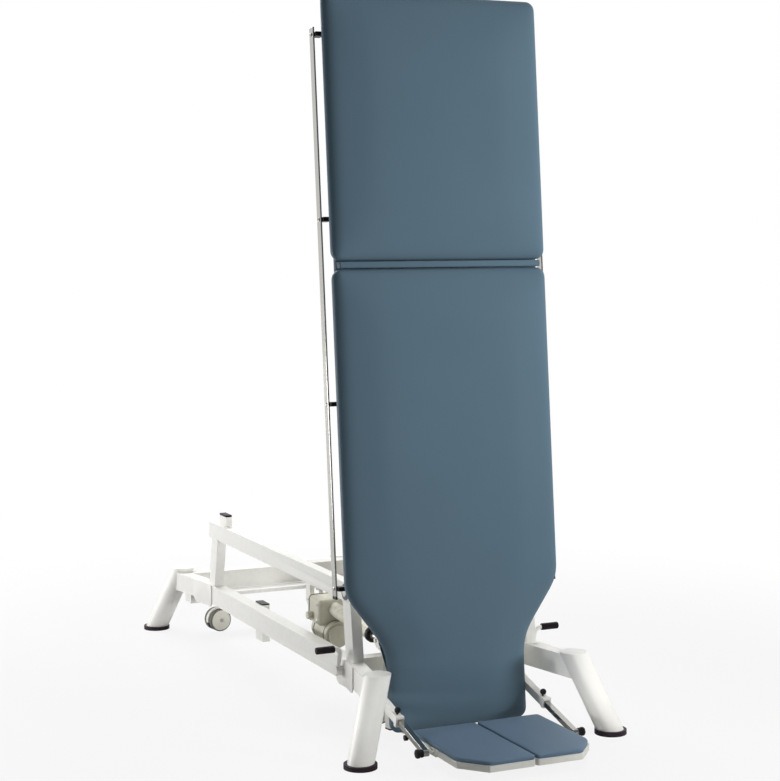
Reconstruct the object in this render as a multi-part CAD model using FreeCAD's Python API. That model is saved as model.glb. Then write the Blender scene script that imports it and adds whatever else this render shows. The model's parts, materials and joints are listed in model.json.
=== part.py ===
import FreeCAD, Part
import math
import os

# A physiotherapy tilt table: a splayed steel base with two raised side arms, a long
# cushioned top that tips between them, a footplate in two halves at its foot end, a
# linear actuator, and castors that a foot lever lowers.
# Lengths are in millimetres. X runs across the table, Y runs from the foot end to the
# head end, and Z is up from the floor. Places along the base are written as distances
# from the line of the front feet. The table top is shown tipped almost upright.

V = FreeCAD.Vector
os.makedirs("parts", exist_ok=True)

# Feet and legs
feet_pitch_x = 728.0
feet_pitch_y = 1755.0
foot_ring_r = 43.0
foot_ring_h = 12.0
leg_seat_z = 6.0
leg_r = 34.0
leg_wall = 2.5
leg_cap_t = 3.0
leg_top_z = 216.0
leg_lean_x = 78.0
leg_lean_y = 66.0

# Base rails and crossbeams, all of one rectangular tube
rail_w = 40.0
rail_h = 60.0
rail_wall = 3.0
rail_top_z = 202.0
rail_x = 260.0
bend_from_feet = 275.0
front_beam_y = 308.0
rear_beam_from_feet = 100.0

# Bent gusset plates over the rail bends
gusset_t = 4.0
gusset_wing = 74.0
gusset_drop = 12.0
gusset_round_r = 22.0

# Posts and raised arms
post_w = 30.0
post_d = 55.0
post_wall = 2.5
front_post_lean = 20.0
rear_post_y = 1422.0
rear_post_lean = 37.0
arm_w = 30.0
arm_h = 50.0
arm_wall = 2.5
arm_bottom_z = 358.0
arm_front_reach = 47.0
arm_rear_y = 1442.0
upper_beam_w = 40.0
upper_beam_wall = 3.0
upper_beam_y = 631.0

# Rests that carry the table top when it lies flat
rest_w = 20.0
rest_d = 60.0
rest_y = 1333.0
rest_pad_t = 6.0
rest_gap = 1.0

# Closed guide tubes on the inner faces of the rails
guide_w = 25.0
guide_d = 60.0
guide_wall = 2.5
guide_y = 1075.0
guide_drop = 54.0
guide_cap_t = 4.0

# Tilt hinge
pivot_y = 302.0
pivot_z = 383.0
upright_lean_deg = 5.0
tilt_shaft_r = 12.5
tilt_shaft_overhang = 4.0
bush_wall = 4.5
bush_flange_r = 22.0
bush_flange_t = 2.0
running_fit = 0.05

# Table top, measured from the tilt hinge: depth behind the hinge and height above it
face_to_pivot = 128.0
foot_end_below = 369.0
lower_cushion_l = 1221.0
cushion_gap = 22.0
upper_cushion_l = 705.0
top_half_w = 315.0
waist_half_w = 203.0
shoulder_z = 1.0
waist_z = -152.0
shoulder_r = 105.0
waist_r = 150.0
cushion_corner_r = 26.0
cushion_t = 46.0
cushion_crown = 3.0
cushion_roll = 18.0
board_t = 18.0
board_inset = 14.0
strip_end_inset = 18.0
strip_h = 17.0
strip_recess = 16.0
batten_gap = 0.5

# Frame tubes under the table top
tube_x = 170.0
tube_w = 40.0
tube_d = 30.0
tube_wall = 2.0
tube_cap_t = 4.0
tube_head_gap = 40.0
cross_tube_w = 30.0
lug_t = 12.0
lug_half_h = 30.0
lug_rim = 8.0

# Side rails with their spacers
side_rail_gap = 9.0
side_rail_t = 5.0
side_rail_d = 25.0
side_rail_set_back = 16.0
spacer_h = 12.0
spacer_set_back = 7.0
spacer_cover = 4.0
spacer_first_z = 18.0
spacer_pitch = 484.0
spacer_count = 4
side_rail_end = 20.0
side_rail_cap_l = 8.0

# Footplate
plate_hinge_y = 82.0
plate_hinge_z = 35.0
plate_rod_r = 5.0
plate_rod_half_l = 197.0
rod_cap_r = 7.5
rod_cap_t = 8.0
knuckle_r = 9.0
footboard_t = 16.0
footpad_t = 14.0
plate_half_w = 188.0
plate_front_half_w = 130.0
plate_length = 334.0
plate_chamfer_l = 66.0
plate_corner_r = 9.0
plate_split = 3.0
board_rear_gap = 11.0
pad_rear_gap = 6.0
pad_inset = 1.0
pad_roll = 4.0

# Footplate carrier under the foot end
carrier_arm_t = 6.0
carrier_arm_h = 13.0
carrier_gap = 0.5
carrier_up = 45.0
carrier_bar_h = 28.0
arm_slot_gap = 1.0

# Telescopic struts of the footplate
strut_x = 215.0
strut_pivot_y = 220.0
strut_pivot_z = 114.0
strut_w = 20.0
strut_h = 22.0
strut_bar_w = 15.0
strut_bar_h = 15.0
slide_gap = 0.3
strut_tube_l = 129.0
strut_tail = 14.0
strut_pin_r = 5.0
strut_pin_head_r = 8.0
strut_pin_head_t = 4.0
collar_l = 12.0
collar_rim = 3.0
bar_start = 42.0
bar_eye_r = 9.0
bar_pin_y = -66.0
bar_pin_z = 37.0
bar_pin_r = 4.0
bar_pin_play = 2.0
pin_bracket_w = 6.0
pin_bracket_half = 15.0
end_knob_r = 9.0
end_knob_t = 16.0
clamp_from_pivot = 117.0
clamp_stem_r = 3.0
clamp_stem_l = 6.0
clamp_ball_r = 8.5

# Foot levers and their shaft, which runs inside the front crossbeam
pedal_shaft_r = 8.0
pedal_boss_r = 14.0
pedal_boss_w = 16.0
pedal_gap = 4.0
pedal_rod_r = 6.0
pedal_bend_r = 16.0
pedal_grip_forward = 19.0
pedal_grip_up = 63.0
grip_inner_x = 313.0
grip_outer_x = 366.0
grip_r = 9.5
grip_cover = 3.0

# Castor lift bars and castors
lift_bar_d = 60.0
lift_bar_t = 12.0
lift_bar_gap = 0.3
front_lift_half_l = 185.0
rear_lift_half_l = 300.0
lift_end_block_l = 30.0
lift_end_block_t = 27.0
rear_castor_from_feet = 155.0
rear_castor_x = 178.0
front_castor_y = 320.0
front_castor_x = 150.0
castor_wheel_r = 37.5
castor_tread_w = 18.0
castor_wheel_gap = 16.0
castor_axle_r = 4.0
castor_clearance = 10.0
castor_trail = 20.0
castor_hood_w = 14.0
castor_hood_r = 40.0
castor_stem_r = 7.0
castor_collar_r = 17.0
castor_collar_h = 14.0
castor_side_gap = 1.0
castor_rim_groove = 3.0
rear_castor_turn_deg = 98.0
front_castor_turn_deg = 60.0

# Tilt actuator
actuator_x = -170.0
actuator_pivot_y = 740.0
actuator_pivot_z = 272.0
actuator_lug_depth = 10.0
actuator_lug_below = 140.0
actuator_pin_r = 6.0
actuator_eye_r = 15.0
actuator_eye_half_w = 8.0
actuator_lug_gap = 4.0
actuator_lug_t = 6.0
actuator_lug_r = 17.0
hanger_t = 14.0
hanger_half_gap = 25.0
hanger_r = 16.0
hanger_shoulder = 48.0
hanger_back_rise = 24.0
clevis_half_w = 24.0
clevis_r = 16.0
gear_half_w = 50.0
gear_above = 28.0
gear_below = 48.0
gear_start = 20.0
gear_end = 112.0
gear_round_r = 12.0
motor_r = 38.0
motor_drop = 70.0
motor_start = 28.0
motor_end = 138.0
motor_cap_r = 31.0
motor_cap_t = 6.0
motor_boss_r = 11.0
motor_boss_l = 15.0
motor_boss_drop = 26.0
motor_boss_at = 60.0
actuator_tube_r = 20.0
actuator_tube_end = 385.0
actuator_bore_start = 150.0
actuator_rod_r = 10.0
actuator_rod_start = 160.0

# One overrun for every cut that goes right through
overrun = 5.0


# Helpers
def block(x0, x1, y0, y1, z0, z1):
    """A box between two corners."""
    return Part.makeBox(x1 - x0, y1 - y0, z1 - z0, V(x0, y0, z0))


def rod(radius, start, end):
    """A round bar between two points."""
    way = end - start
    return Part.makeCylinder(radius, way.Length, start, way)


def other_side(shape):
    """The mirror image across the table's middle plane."""
    return shape.mirror(V(0, 0, 0), V(1, 0, 0))


def turned(shape, point, degrees, axis=None):
    """A copy turned about a line through a point."""
    copy = shape.copy()
    copy.rotate(point, axis or V(1, 0, 0), degrees)
    return copy


def plate_x(points, x0, x1):
    """A flat plate whose outline is given as (y, z) points, from x0 to x1."""
    wire = Part.makePolygon([V(x0, y, z) for y, z in points + points[:1]])
    return Part.Face(wire).extrude(V(x1 - x0, 0, 0))


def inset_corners(corners, inset):
    """Corners of a left-turning outline after every edge moves inwards."""
    moved = []
    count = len(corners)
    for i in range(count):
        (ax, ay), (bx, by) = corners[i - 1][0], corners[i][0]
        cx, cy = corners[(i + 1) % count][0]
        first, second = math.hypot(bx - ax, by - ay), math.hypot(cx - bx, cy - by)
        ux, uy = (bx - ax) / first, (by - ay) / first
        vx, vy = (cx - bx) / second, (cy - by) / second
        turn = ux * vy - uy * vx
        along_edge = inset * (1 - ux * vx - uy * vy) / turn
        x = bx - uy * inset - ux * along_edge
        y = by + ux * inset - uy * along_edge
        radius = corners[i][1] - inset if turn > 0 else corners[i][1] + inset
        moved.append(((x, y), max(radius, corners[i][1] / 2)))
    return moved


def rounded_wire(corners, place):
    """A closed wire of straight edges and corner arcs; place turns (a, b) into a point."""
    edges = []
    ends = []
    count = len(corners)
    for i in range(count):
        (ax, ay), (bx, by) = corners[i - 1][0], corners[i][0]
        cx, cy = corners[(i + 1) % count][0]
        radius = corners[i][1]
        first, second = math.hypot(ax - bx, ay - by), math.hypot(cx - bx, cy - by)
        ux, uy = (ax - bx) / first, (ay - by) / first
        vx, vy = (cx - bx) / second, (cy - by) / second
        half = math.acos(max(-1, min(1, ux * vx + uy * vy))) / 2
        back = radius / math.tan(half)
        mx, my = ux + vx, uy + vy
        size = math.hypot(mx, my)
        out = radius / math.sin(half) - radius
        start = place(bx + ux * back, by + uy * back)
        middle = place(bx + mx / size * out, by + my / size * out)
        end = place(bx + vx * back, by + vy * back)
        ends.append((start, middle, end))
    for i in range(count):
        start, middle, end = ends[i]
        edges.append(Part.Arc(start, middle, end).toShape())
        edges.append(Part.LineSegment(end, ends[(i + 1) % count][0]).toShape())
    return Part.Wire(edges)


def layered(corners, layers, place_at):
    """A padded form lofted through (height, inset) layers of one outline."""
    wires = [rounded_wire(inset_corners(corners, inset), place_at(height)) for height, inset in layers]
    return Part.makeLoft(wires, True, True)


def save(node, *shapes):
    """Write one node; several pieces stay separate solids."""
    shape = shapes[0] if len(shapes) == 1 else Part.makeCompound(list(shapes))
    shape.exportStep("parts/" + node + ".step")


# Places that follow from the sizes above
def along(distance):
    """Y of a place that lies a distance behind the line of the front feet."""
    return front_feet_y + distance


plate_front = plate_hinge_y - plate_length
front_feet_y = -(plate_front + feet_pitch_y + foot_ring_r) / 2
base_middle_y = along(feet_pitch_y / 2)
rail_bottom_z = rail_top_z - rail_h
rail_middle_z = rail_top_z - rail_h / 2
rail_inner_x = rail_x - rail_w / 2
rail_outer_x = rail_x + rail_w / 2
arm_top_z = arm_bottom_z + arm_h
arm_inner_x = rail_x - arm_w / 2
arm_outer_x = rail_x + arm_w / 2
pivot = V(0, along(pivot_y), pivot_z)
side_rail_x = top_half_w + side_rail_gap + side_rail_t / 2
board_back = board_t + cushion_t - face_to_pivot
tube_back = board_back + tube_d
rest_pad_z = pivot_z - board_back - rest_gap - rest_pad_t
lower_top_z = lower_cushion_l - foot_end_below
upper_foot_z = lower_top_z + cushion_gap
upper_top_z = upper_foot_z + upper_cushion_l
hinge_point = V(0, along(plate_hinge_y), plate_hinge_z)
strut_pivot = V(0, along(strut_pivot_y), strut_pivot_z)
strut_way = V(0, along(bar_pin_y), bar_pin_z) - strut_pivot
strut_dip_deg = math.degrees(math.atan2(-strut_way.z, -strut_way.y))
leg_share_at_rail = (leg_top_z - rail_middle_z) / (leg_top_z - leg_seat_z)
splay_x = feet_pitch_x / 2 - leg_lean_x * (1 - leg_share_at_rail) - rail_x
splay_y = bend_from_feet - leg_lean_y * (1 - leg_share_at_rail)
splay_deg = math.degrees(math.atan2(splay_x, splay_y))
splay_l = math.hypot(splay_x, splay_y)


def other_end(shape):
    """The mirror image across the middle of the base, front to rear."""
    return shape.mirror(V(0, base_middle_y, 0), V(0, 1, 0))


def on_table(shape):
    """Put a shape built about the tilt hinge on the leaning table top."""
    leaning = turned(shape, V(0, 0, 0), -upright_lean_deg)
    leaning.translate(pivot)
    return leaning


def table_point(depth, height):
    """The place of a point of the table top, given about the tilt hinge."""
    lean = math.radians(upright_lean_deg)
    y = depth * math.cos(lean) + height * math.sin(lean)
    z = height * math.cos(lean) - depth * math.sin(lean)
    return pivot + V(0, y, z)


def table_local(point):
    """Depth and height about the tilt hinge of a point given at rest."""
    lean = math.radians(upright_lean_deg)
    y = point.y - pivot.y
    z = point.z - pivot.z
    return y * math.cos(lean) - z * math.sin(lean), y * math.sin(lean) + z * math.cos(lean)


# Legs and feet
def leg_solid(radius, top_z):
    """A leaning round bar cut level at the foot and at the top, front right."""
    foot = V(feet_pitch_x / 2, along(0), leg_seat_z)
    top = V(feet_pitch_x / 2 - leg_lean_x, along(leg_lean_y), leg_top_z)
    way = top - foot
    bar = rod(radius, foot - way, top + way)
    slab_half = leg_lean_x + leg_lean_y + feet_pitch_x
    slab = block(-slab_half, slab_half, foot.y - slab_half, foot.y + slab_half, leg_seat_z, top_z)
    return bar.common(slab)


def make_legs():
    outer = leg_solid(leg_r, leg_top_z)
    bore = leg_solid(leg_r - leg_wall, leg_top_z - leg_cap_t)
    leg = outer.cut(bore)
    save("leg_front_right", leg)
    save("leg_front_left", other_side(leg))
    save("leg_rear_right", other_end(leg))
    save("leg_rear_left", other_end(other_side(leg)))
    ring = Part.makeCylinder(foot_ring_r, foot_ring_h, V(feet_pitch_x / 2, along(0), 0))
    ring = ring.cut(outer)
    save("rubber_feet", ring, other_side(ring), other_end(ring), other_end(other_side(ring)))
    return outer


# Base rails
def splayed(shape):
    """Turn a shape built straight along Y about the front right bend."""
    bend = V(rail_x, along(bend_from_feet), 0)
    return turned(shape, bend, splay_deg, V(0, 0, 1))


def make_rail_ends(leg_outer):
    front = along(bend_from_feet)
    outer = block(rail_inner_x, rail_outer_x, front - splay_l, front + rail_w, rail_bottom_z, rail_top_z)
    inner = block(rail_inner_x + rail_wall, rail_outer_x - rail_wall, front - splay_l - overrun,
                  front + rail_w + overrun, rail_bottom_z + rail_wall, rail_top_z - rail_wall)
    behind = block(rail_inner_x - rail_w, rail_outer_x + rail_w, front, front + rail_w + rail_w,
                   rail_bottom_z - overrun, rail_top_z + overrun)
    piece = splayed(outer.cut(inner)).cut(behind).cut(leg_outer)
    piece = max(piece.Solids, key=lambda solid: solid.Volume)
    save("rail_ends", piece, other_side(piece), other_end(piece), other_end(other_side(piece)))


def shaft_hole(x0, x1):
    """The hole for the foot lever shaft."""
    y, z = along(front_beam_y), rail_middle_z
    return rod(pedal_shaft_r + running_fit, V(x0, y, z), V(x1, y, z))


def make_rails():
    front, rear = along(bend_from_feet), along(feet_pitch_y - bend_from_feet)
    outer = block(rail_inner_x, rail_outer_x, front, rear, rail_bottom_z, rail_top_z)
    inner = block(rail_inner_x + rail_wall, rail_outer_x - rail_wall, front - overrun, rear + overrun,
                  rail_bottom_z + rail_wall, rail_top_z - rail_wall)
    hole = shaft_hole(rail_inner_x - overrun, rail_outer_x + overrun)
    rail = outer.cut(inner).cut(hole)
    save("base_rail_right", rail)
    save("base_rail_left", other_side(rail))


def make_crossbeams(leg_outer):
    half = rail_w / 2
    y = along(front_beam_y)
    outer = block(-rail_inner_x, rail_inner_x, y - half, y + half, rail_bottom_z, rail_top_z)
    inner = block(-rail_inner_x - overrun, rail_inner_x + overrun, y - half + rail_wall,
                  y + half - rail_wall, rail_bottom_z + rail_wall, rail_top_z - rail_wall)
    save("front_crossbeam", outer.cut(inner))
    reach = feet_pitch_x / 2
    front = along(bend_from_feet)
    outboard = block(rail_inner_x, rail_inner_x + feet_pitch_x, front - splay_l - rail_w, front,
                     rail_bottom_z - overrun, rail_top_z + overrun)
    outboard = other_end(splayed(outboard))
    y = along(feet_pitch_y - rear_beam_from_feet)
    outer = block(-reach, reach, y - half, y + half, rail_bottom_z, rail_top_z)
    inner = block(-reach - overrun, reach + overrun, y - half + rail_wall, y + half - rail_wall,
                  rail_bottom_z + rail_wall, rail_top_z - rail_wall)
    beam = outer.cut(inner).cut(outboard).cut(other_side(outboard))
    leg = other_end(leg_outer)
    save("rear_crossbeam", beam.cut(leg).cut(other_side(leg)))


def make_gussets():
    """Bent plates over the four bends, with their lower outer corners rounded."""
    front = along(bend_from_feet)
    low = rail_bottom_z - gusset_drop
    lean_back = gusset_round_r * (1 - math.sqrt(1 / 2))

    def wing(sign):
        far = front + sign * gusset_wing
        start = V(rail_outer_x, far, low + gusset_round_r)
        middle = V(rail_outer_x, far - sign * lean_back, low + lean_back)
        end = V(rail_outer_x, far - sign * gusset_round_r, low)
        corners = [end, V(rail_outer_x, front, low), V(rail_outer_x, front, rail_top_z),
                   V(rail_outer_x, far, rail_top_z), start]
        edges = [Part.LineSegment(a, b).toShape() for a, b in zip(corners, corners[1:])]
        edges.append(Part.Arc(start, middle, end).toShape())
        return Part.Face(Part.Wire(edges)).extrude(V(gusset_t, 0, 0))

    plate = wing(1).fuse(splayed(wing(-1))).removeSplitter()
    inside = block(rail_inner_x, rail_outer_x, front - splay_l, front + splay_l, rail_bottom_z, rail_top_z)
    plate = plate.cut(inside).cut(splayed(inside))
    drilled = plate.cut(shaft_hole(rail_outer_x - overrun, rail_outer_x + gusset_t + overrun))
    save("corner_gussets", drilled, other_side(drilled), other_end(plate), other_end(other_side(plate)))


# Posts, arms and what they carry
def leaning_post(middle_y, lean):
    """A rectangular tube from the rail to the arm whose top is moved along Y."""
    x0, x1 = rail_x - post_w / 2, rail_x + post_w / 2
    half = post_d / 2

    def prism(half_depth, low_x, high_x, extra):
        steep = lean / (arm_bottom_z - rail_top_z)
        z0, z1 = rail_top_z - extra, arm_bottom_z + extra
        shift0, shift1 = -extra * steep, lean + extra * steep
        points = [(middle_y - half_depth + shift0, z0), (middle_y + half_depth + shift0, z0),
                  (middle_y + half_depth + shift1, z1), (middle_y - half_depth + shift1, z1)]
        return plate_x(points, low_x, high_x)

    return prism(half, x0, x1, 0).cut(prism(half - post_wall, x0 + post_wall, x1 - post_wall, overrun))


def make_posts():
    front = leaning_post(along(bend_from_feet), front_post_lean)
    rear = leaning_post(along(rear_post_y), -rear_post_lean)
    save("front_posts", front, other_side(front))
    save("rear_posts", rear, other_side(rear))


def make_arms():
    y0, y1 = along(pivot_y - arm_front_reach), along(arm_rear_y)
    arm = block(arm_inner_x, arm_outer_x, y0, y1, arm_bottom_z, arm_top_z)
    bore = block(arm_inner_x + arm_wall, arm_outer_x - arm_wall, y0 + arm_wall, y1 - arm_wall,
                 arm_bottom_z + arm_wall, arm_top_z - arm_wall)
    bush_r = tilt_shaft_r + running_fit + bush_wall
    seat = rod(bush_r, V(arm_inner_x - overrun, pivot.y, pivot.z),
               V(arm_outer_x + overrun, pivot.y, pivot.z))
    stub = block(arm_inner_x, arm_inner_x + rest_w, along(rest_y) - rest_d / 2, along(rest_y) + rest_d / 2,
                 arm_top_z, rest_pad_z)
    arm = arm.cut(bore).cut(seat).fuse(stub).removeSplitter()
    save("upper_arm_right", arm)
    save("upper_arm_left", other_side(arm))
    sleeve = rod(bush_r, V(arm_inner_x, pivot.y, pivot.z), V(arm_outer_x, pivot.y, pivot.z))
    inner_flange = rod(bush_flange_r, V(arm_inner_x - bush_flange_t, pivot.y, pivot.z),
                       V(arm_inner_x, pivot.y, pivot.z))
    outer_flange = rod(bush_flange_r, V(arm_outer_x, pivot.y, pivot.z),
                       V(arm_outer_x + bush_flange_t, pivot.y, pivot.z))
    hole = rod(tilt_shaft_r + running_fit, V(arm_inner_x - overrun, pivot.y, pivot.z),
               V(arm_outer_x + overrun, pivot.y, pivot.z))
    bush = sleeve.fuse([inner_flange, outer_flange]).cut(hole)
    save("tilt_bushes", bush, other_side(bush))


def make_upper_crossbeam():
    """The beam between the arms, with the hanger plates and pin of the actuator."""
    half = upper_beam_w / 2
    y = along(upper_beam_y)
    z0 = arm_top_z - upper_beam_w
    beam = block(-arm_inner_x, arm_inner_x, y - half, y + half, z0, arm_top_z)
    bore = block(-arm_inner_x - overrun, arm_inner_x + overrun, y - half + upper_beam_wall,
                 y + half - upper_beam_wall, z0 + upper_beam_wall, arm_top_z - upper_beam_wall)
    beam = beam.cut(bore)
    eye_y = along(actuator_pivot_y)
    over = actuator_pivot_z + hanger_shoulder
    points = [(y - half, z0), (eye_y - hanger_r, over), (eye_y - hanger_r, actuator_pivot_z),
              (eye_y, actuator_pivot_z - hanger_r), (eye_y + hanger_r, actuator_pivot_z),
              (eye_y + hanger_r, over + hanger_r), (y + half, z0 + hanger_back_rise), (y + half, z0)]
    near = actuator_x - hanger_half_gap - hanger_t
    far = actuator_x + hanger_half_gap
    pieces = [plate_x(points, near, near + hanger_t), plate_x(points, far, far + hanger_t)]
    pieces.append(rod(actuator_pin_r, V(near, eye_y, actuator_pivot_z),
                      V(far + hanger_t, eye_y, actuator_pivot_z)))
    save("upper_crossbeam", beam.fuse(pieces).removeSplitter())


def make_rest_pads():
    y0, y1 = along(rest_y) - rest_d / 2, along(rest_y) + rest_d / 2
    pad = block(arm_inner_x, arm_inner_x + rest_w, y0, y1, rest_pad_z, rest_pad_z + rest_pad_t)
    save("rest_pads", pad, other_side(pad))


def make_guide_tubes():
    y0, y1 = along(guide_y) - guide_d / 2, along(guide_y) + guide_d / 2
    x0 = rail_inner_x - guide_w
    z0, z1 = rail_bottom_z - guide_drop, rail_top_z
    tube = block(x0, rail_inner_x, y0, y1, z0, z1)
    bore = block(x0 + guide_wall, rail_inner_x - guide_wall, y0 + guide_wall, y1 - guide_wall,
                 z0 + guide_wall, z1 + overrun)
    tube = tube.cut(bore)
    cap = block(x0, rail_inner_x, y0, y1, z1, z1 + guide_cap_t)
    save("guide_tubes", tube, other_side(tube))
    save("guide_tube_caps", cap, other_side(cap))


# Table top
def cushion_outline_lower():
    """Half-wide top, drawn in to a narrow foot part; corners with their radii."""
    low = -foot_end_below
    return [((-waist_half_w, low), cushion_corner_r), ((waist_half_w, low), cushion_corner_r),
            ((waist_half_w, waist_z), waist_r), ((top_half_w, shoulder_z), shoulder_r),
            ((top_half_w, lower_top_z), cushion_corner_r), ((-top_half_w, lower_top_z), cushion_corner_r),
            ((-top_half_w, shoulder_z), shoulder_r), ((-waist_half_w, waist_z), waist_r)]


def cushion_outline_upper():
    return [((-top_half_w, upper_foot_z), cushion_corner_r), ((top_half_w, upper_foot_z), cushion_corner_r),
            ((top_half_w, upper_top_z), cushion_corner_r), ((-top_half_w, upper_top_z), cushion_corner_r)]


def at_depth(depth):
    """Put an outline point at a depth behind the tilt hinge."""
    return lambda a, b: V(a, depth, b)


def cushion(corners):
    """A crowned pad: the side swells, then rolls over to a gently domed face."""
    back = cushion_t - face_to_pivot
    depth_shares = (0.0, 0.14, 0.5, 0.78, 0.93, 1.0)
    inset_shares = (0.16, 0.03, 0.0, 0.16, 0.5, 1.0)
    layers = [(back - cushion_t * d, cushion_roll * i) for d, i in zip(depth_shares, inset_shares)]
    crown_inset_share = 4.0
    layers.append((-face_to_pivot - cushion_crown, cushion_roll * crown_inset_share))
    return on_table(layered(corners, layers, at_depth))


def support_board(corners):
    wire = rounded_wire(inset_corners(corners, board_inset), at_depth(board_back - board_t))
    return on_table(Part.Face(wire).extrude(V(0, board_t, 0)))


def make_cushions():
    save("cushion_lower", cushion(cushion_outline_lower()))
    save("cushion_upper", cushion(cushion_outline_upper()))
    save("support_boards", support_board(cushion_outline_lower()), support_board(cushion_outline_upper()))
    middle = lower_top_z + cushion_gap / 2
    strip_half_w = top_half_w - strip_end_inset
    strip = block(-strip_half_w, strip_half_w, strip_recess - face_to_pivot, board_back,
                  middle - strip_h / 2, middle + strip_h / 2)
    batten_half_h = cushion_gap / 2 + board_inset - batten_gap
    batten = block(-strip_half_w, strip_half_w, board_back - board_t, board_back,
                   middle - batten_half_h, middle + batten_half_h)
    save("gap_strip", on_table(strip.fuse(batten).removeSplitter()))


def make_frame_tubes():
    z0, z1 = tube_cap_t - foot_end_below, upper_top_z - tube_head_gap
    x0, x1 = tube_x - tube_w / 2, tube_x + tube_w / 2
    tube = block(x0, x1, board_back, tube_back, z0, z1)
    bore = block(x0 + tube_wall, x1 - tube_wall, board_back + tube_wall, tube_back - tube_wall,
                 z0 - overrun, z1 - tube_wall)
    pivot_depth, pivot_height = table_local(strut_pivot)
    pin_end = strut_x + strut_w / 2 + slide_gap
    stud = rod(strut_pin_r, V(x1, pivot_depth, pivot_height), V(pin_end, pivot_depth, pivot_height))
    head = rod(strut_pin_head_r, V(pin_end, pivot_depth, pivot_height),
               V(pin_end + strut_pin_head_t, pivot_depth, pivot_height))
    tube = tube.cut(bore).fuse([stud, head]).removeSplitter()
    save("table_tube_right", on_table(tube))
    save("table_tube_left", on_table(other_side(tube)))
    foot_cap = block(x0, x1, board_back, tube_back, z0 - tube_cap_t, z0)
    caps = [foot_cap, other_side(foot_cap)]
    hinge_depth, hinge_height = table_local(hinge_point)
    rod_cap = rod(rod_cap_r, V(plate_rod_half_l, hinge_depth, hinge_height),
                  V(plate_rod_half_l + rod_cap_t, hinge_depth, hinge_height))
    caps.extend([rod_cap, other_side(rod_cap)])
    save("table_end_caps", *[on_table(cap) for cap in caps])
    half = cross_tube_w / 2
    cross_height_shares = (0.14, 0.42, 1.0)
    heights = [lower_top_z * share + cushion_gap / 2 for share in cross_height_shares]
    heights.append(z1 - half)
    crosses = []
    for z in heights:
        outer = block(-x0, x0, board_back, tube_back, z - half, z + half)
        inner = block(-x0 - overrun, x0 + overrun, board_back + tube_wall, tube_back - tube_wall,
                      z - half + tube_wall, z + half - tube_wall)
        crosses.append(on_table(outer.cut(inner)))
    save("table_cross_tubes", *crosses)


def make_table_lugs():
    """Plates that hold the tilt shaft, and the two plates that take the rod's eye."""
    rim = tilt_shaft_r + lug_rim
    points = [(tube_back, -lug_half_h), (lug_rim, -rim), (rim, -lug_rim), (rim, lug_rim), (lug_rim, rim),
              (tube_back, lug_half_h)]
    plate = plate_x(points, tube_x - lug_t / 2, tube_x + lug_t / 2)
    plate = plate.cut(rod(tilt_shaft_r, V(tube_x - lug_t, 0, 0), V(tube_x + lug_t, 0, 0)))
    low = -actuator_lug_below
    points = [(tube_back, low - lug_half_h), (actuator_lug_depth, low - actuator_lug_r),
              (actuator_lug_depth + actuator_lug_r, low), (actuator_lug_depth, low + actuator_lug_r),
              (tube_back, low + lug_half_h)]
    eye_side = actuator_eye_half_w + actuator_lug_gap
    ears = []
    for x0 in (actuator_x - eye_side - actuator_lug_t, actuator_x + eye_side):
        ear = plate_x(points, x0, x0 + actuator_lug_t)
        ears.append(ear.cut(rod(actuator_pin_r, V(x0, actuator_lug_depth, low),
                                V(x0 + actuator_lug_t, actuator_lug_depth, low))))
    save("table_lugs", *[on_table(s) for s in (plate, other_side(plate), *ears)])
    reach = arm_outer_x + tilt_shaft_overhang
    save("tilt_shaft", on_table(rod(tilt_shaft_r, V(-reach, 0, 0), V(reach, 0, 0))))


def make_side_rails():
    last = spacer_first_z + spacer_pitch * (spacer_count - 1)
    z0, z1 = spacer_first_z - side_rail_end, last + side_rail_end
    x0, x1 = side_rail_x - side_rail_t / 2, side_rail_x + side_rail_t / 2
    y0 = board_back - board_t + side_rail_set_back
    y1 = y0 + side_rail_d
    rail = block(x0, x1, y0, y1, z0, z1)
    save("side_rail_right", on_table(rail))
    save("side_rail_left", on_table(other_side(rail)))
    pieces = []
    for i in range(spacer_count):
        z = spacer_first_z + spacer_pitch * i
        pieces.append(block(top_half_w - board_inset, x0, board_back - board_t + spacer_set_back,
                            y1 - spacer_cover, z - spacer_h / 2, z + spacer_h / 2))
    pieces.append(block(x0, x1, y0, y1, z0 - side_rail_cap_l, z0))
    both = pieces + [other_side(piece) for piece in pieces]
    save("side_rail_spacers", *[on_table(piece) for piece in both])


# Footplate
def plate_corners(rear_gap):
    """Outline of the right half of the footplate, seen from above, front at low y."""
    rear, front = hinge_point.y - rear_gap, hinge_point.y - plate_length
    return [((plate_split / 2, front), plate_corner_r), ((plate_front_half_w, front), plate_corner_r),
            ((plate_half_w, front + plate_chamfer_l), plate_corner_r),
            ((plate_half_w, rear), plate_corner_r), ((plate_split / 2, rear), plate_corner_r)]


def at_height(height):
    return lambda a, b: V(a, b, height)


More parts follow.
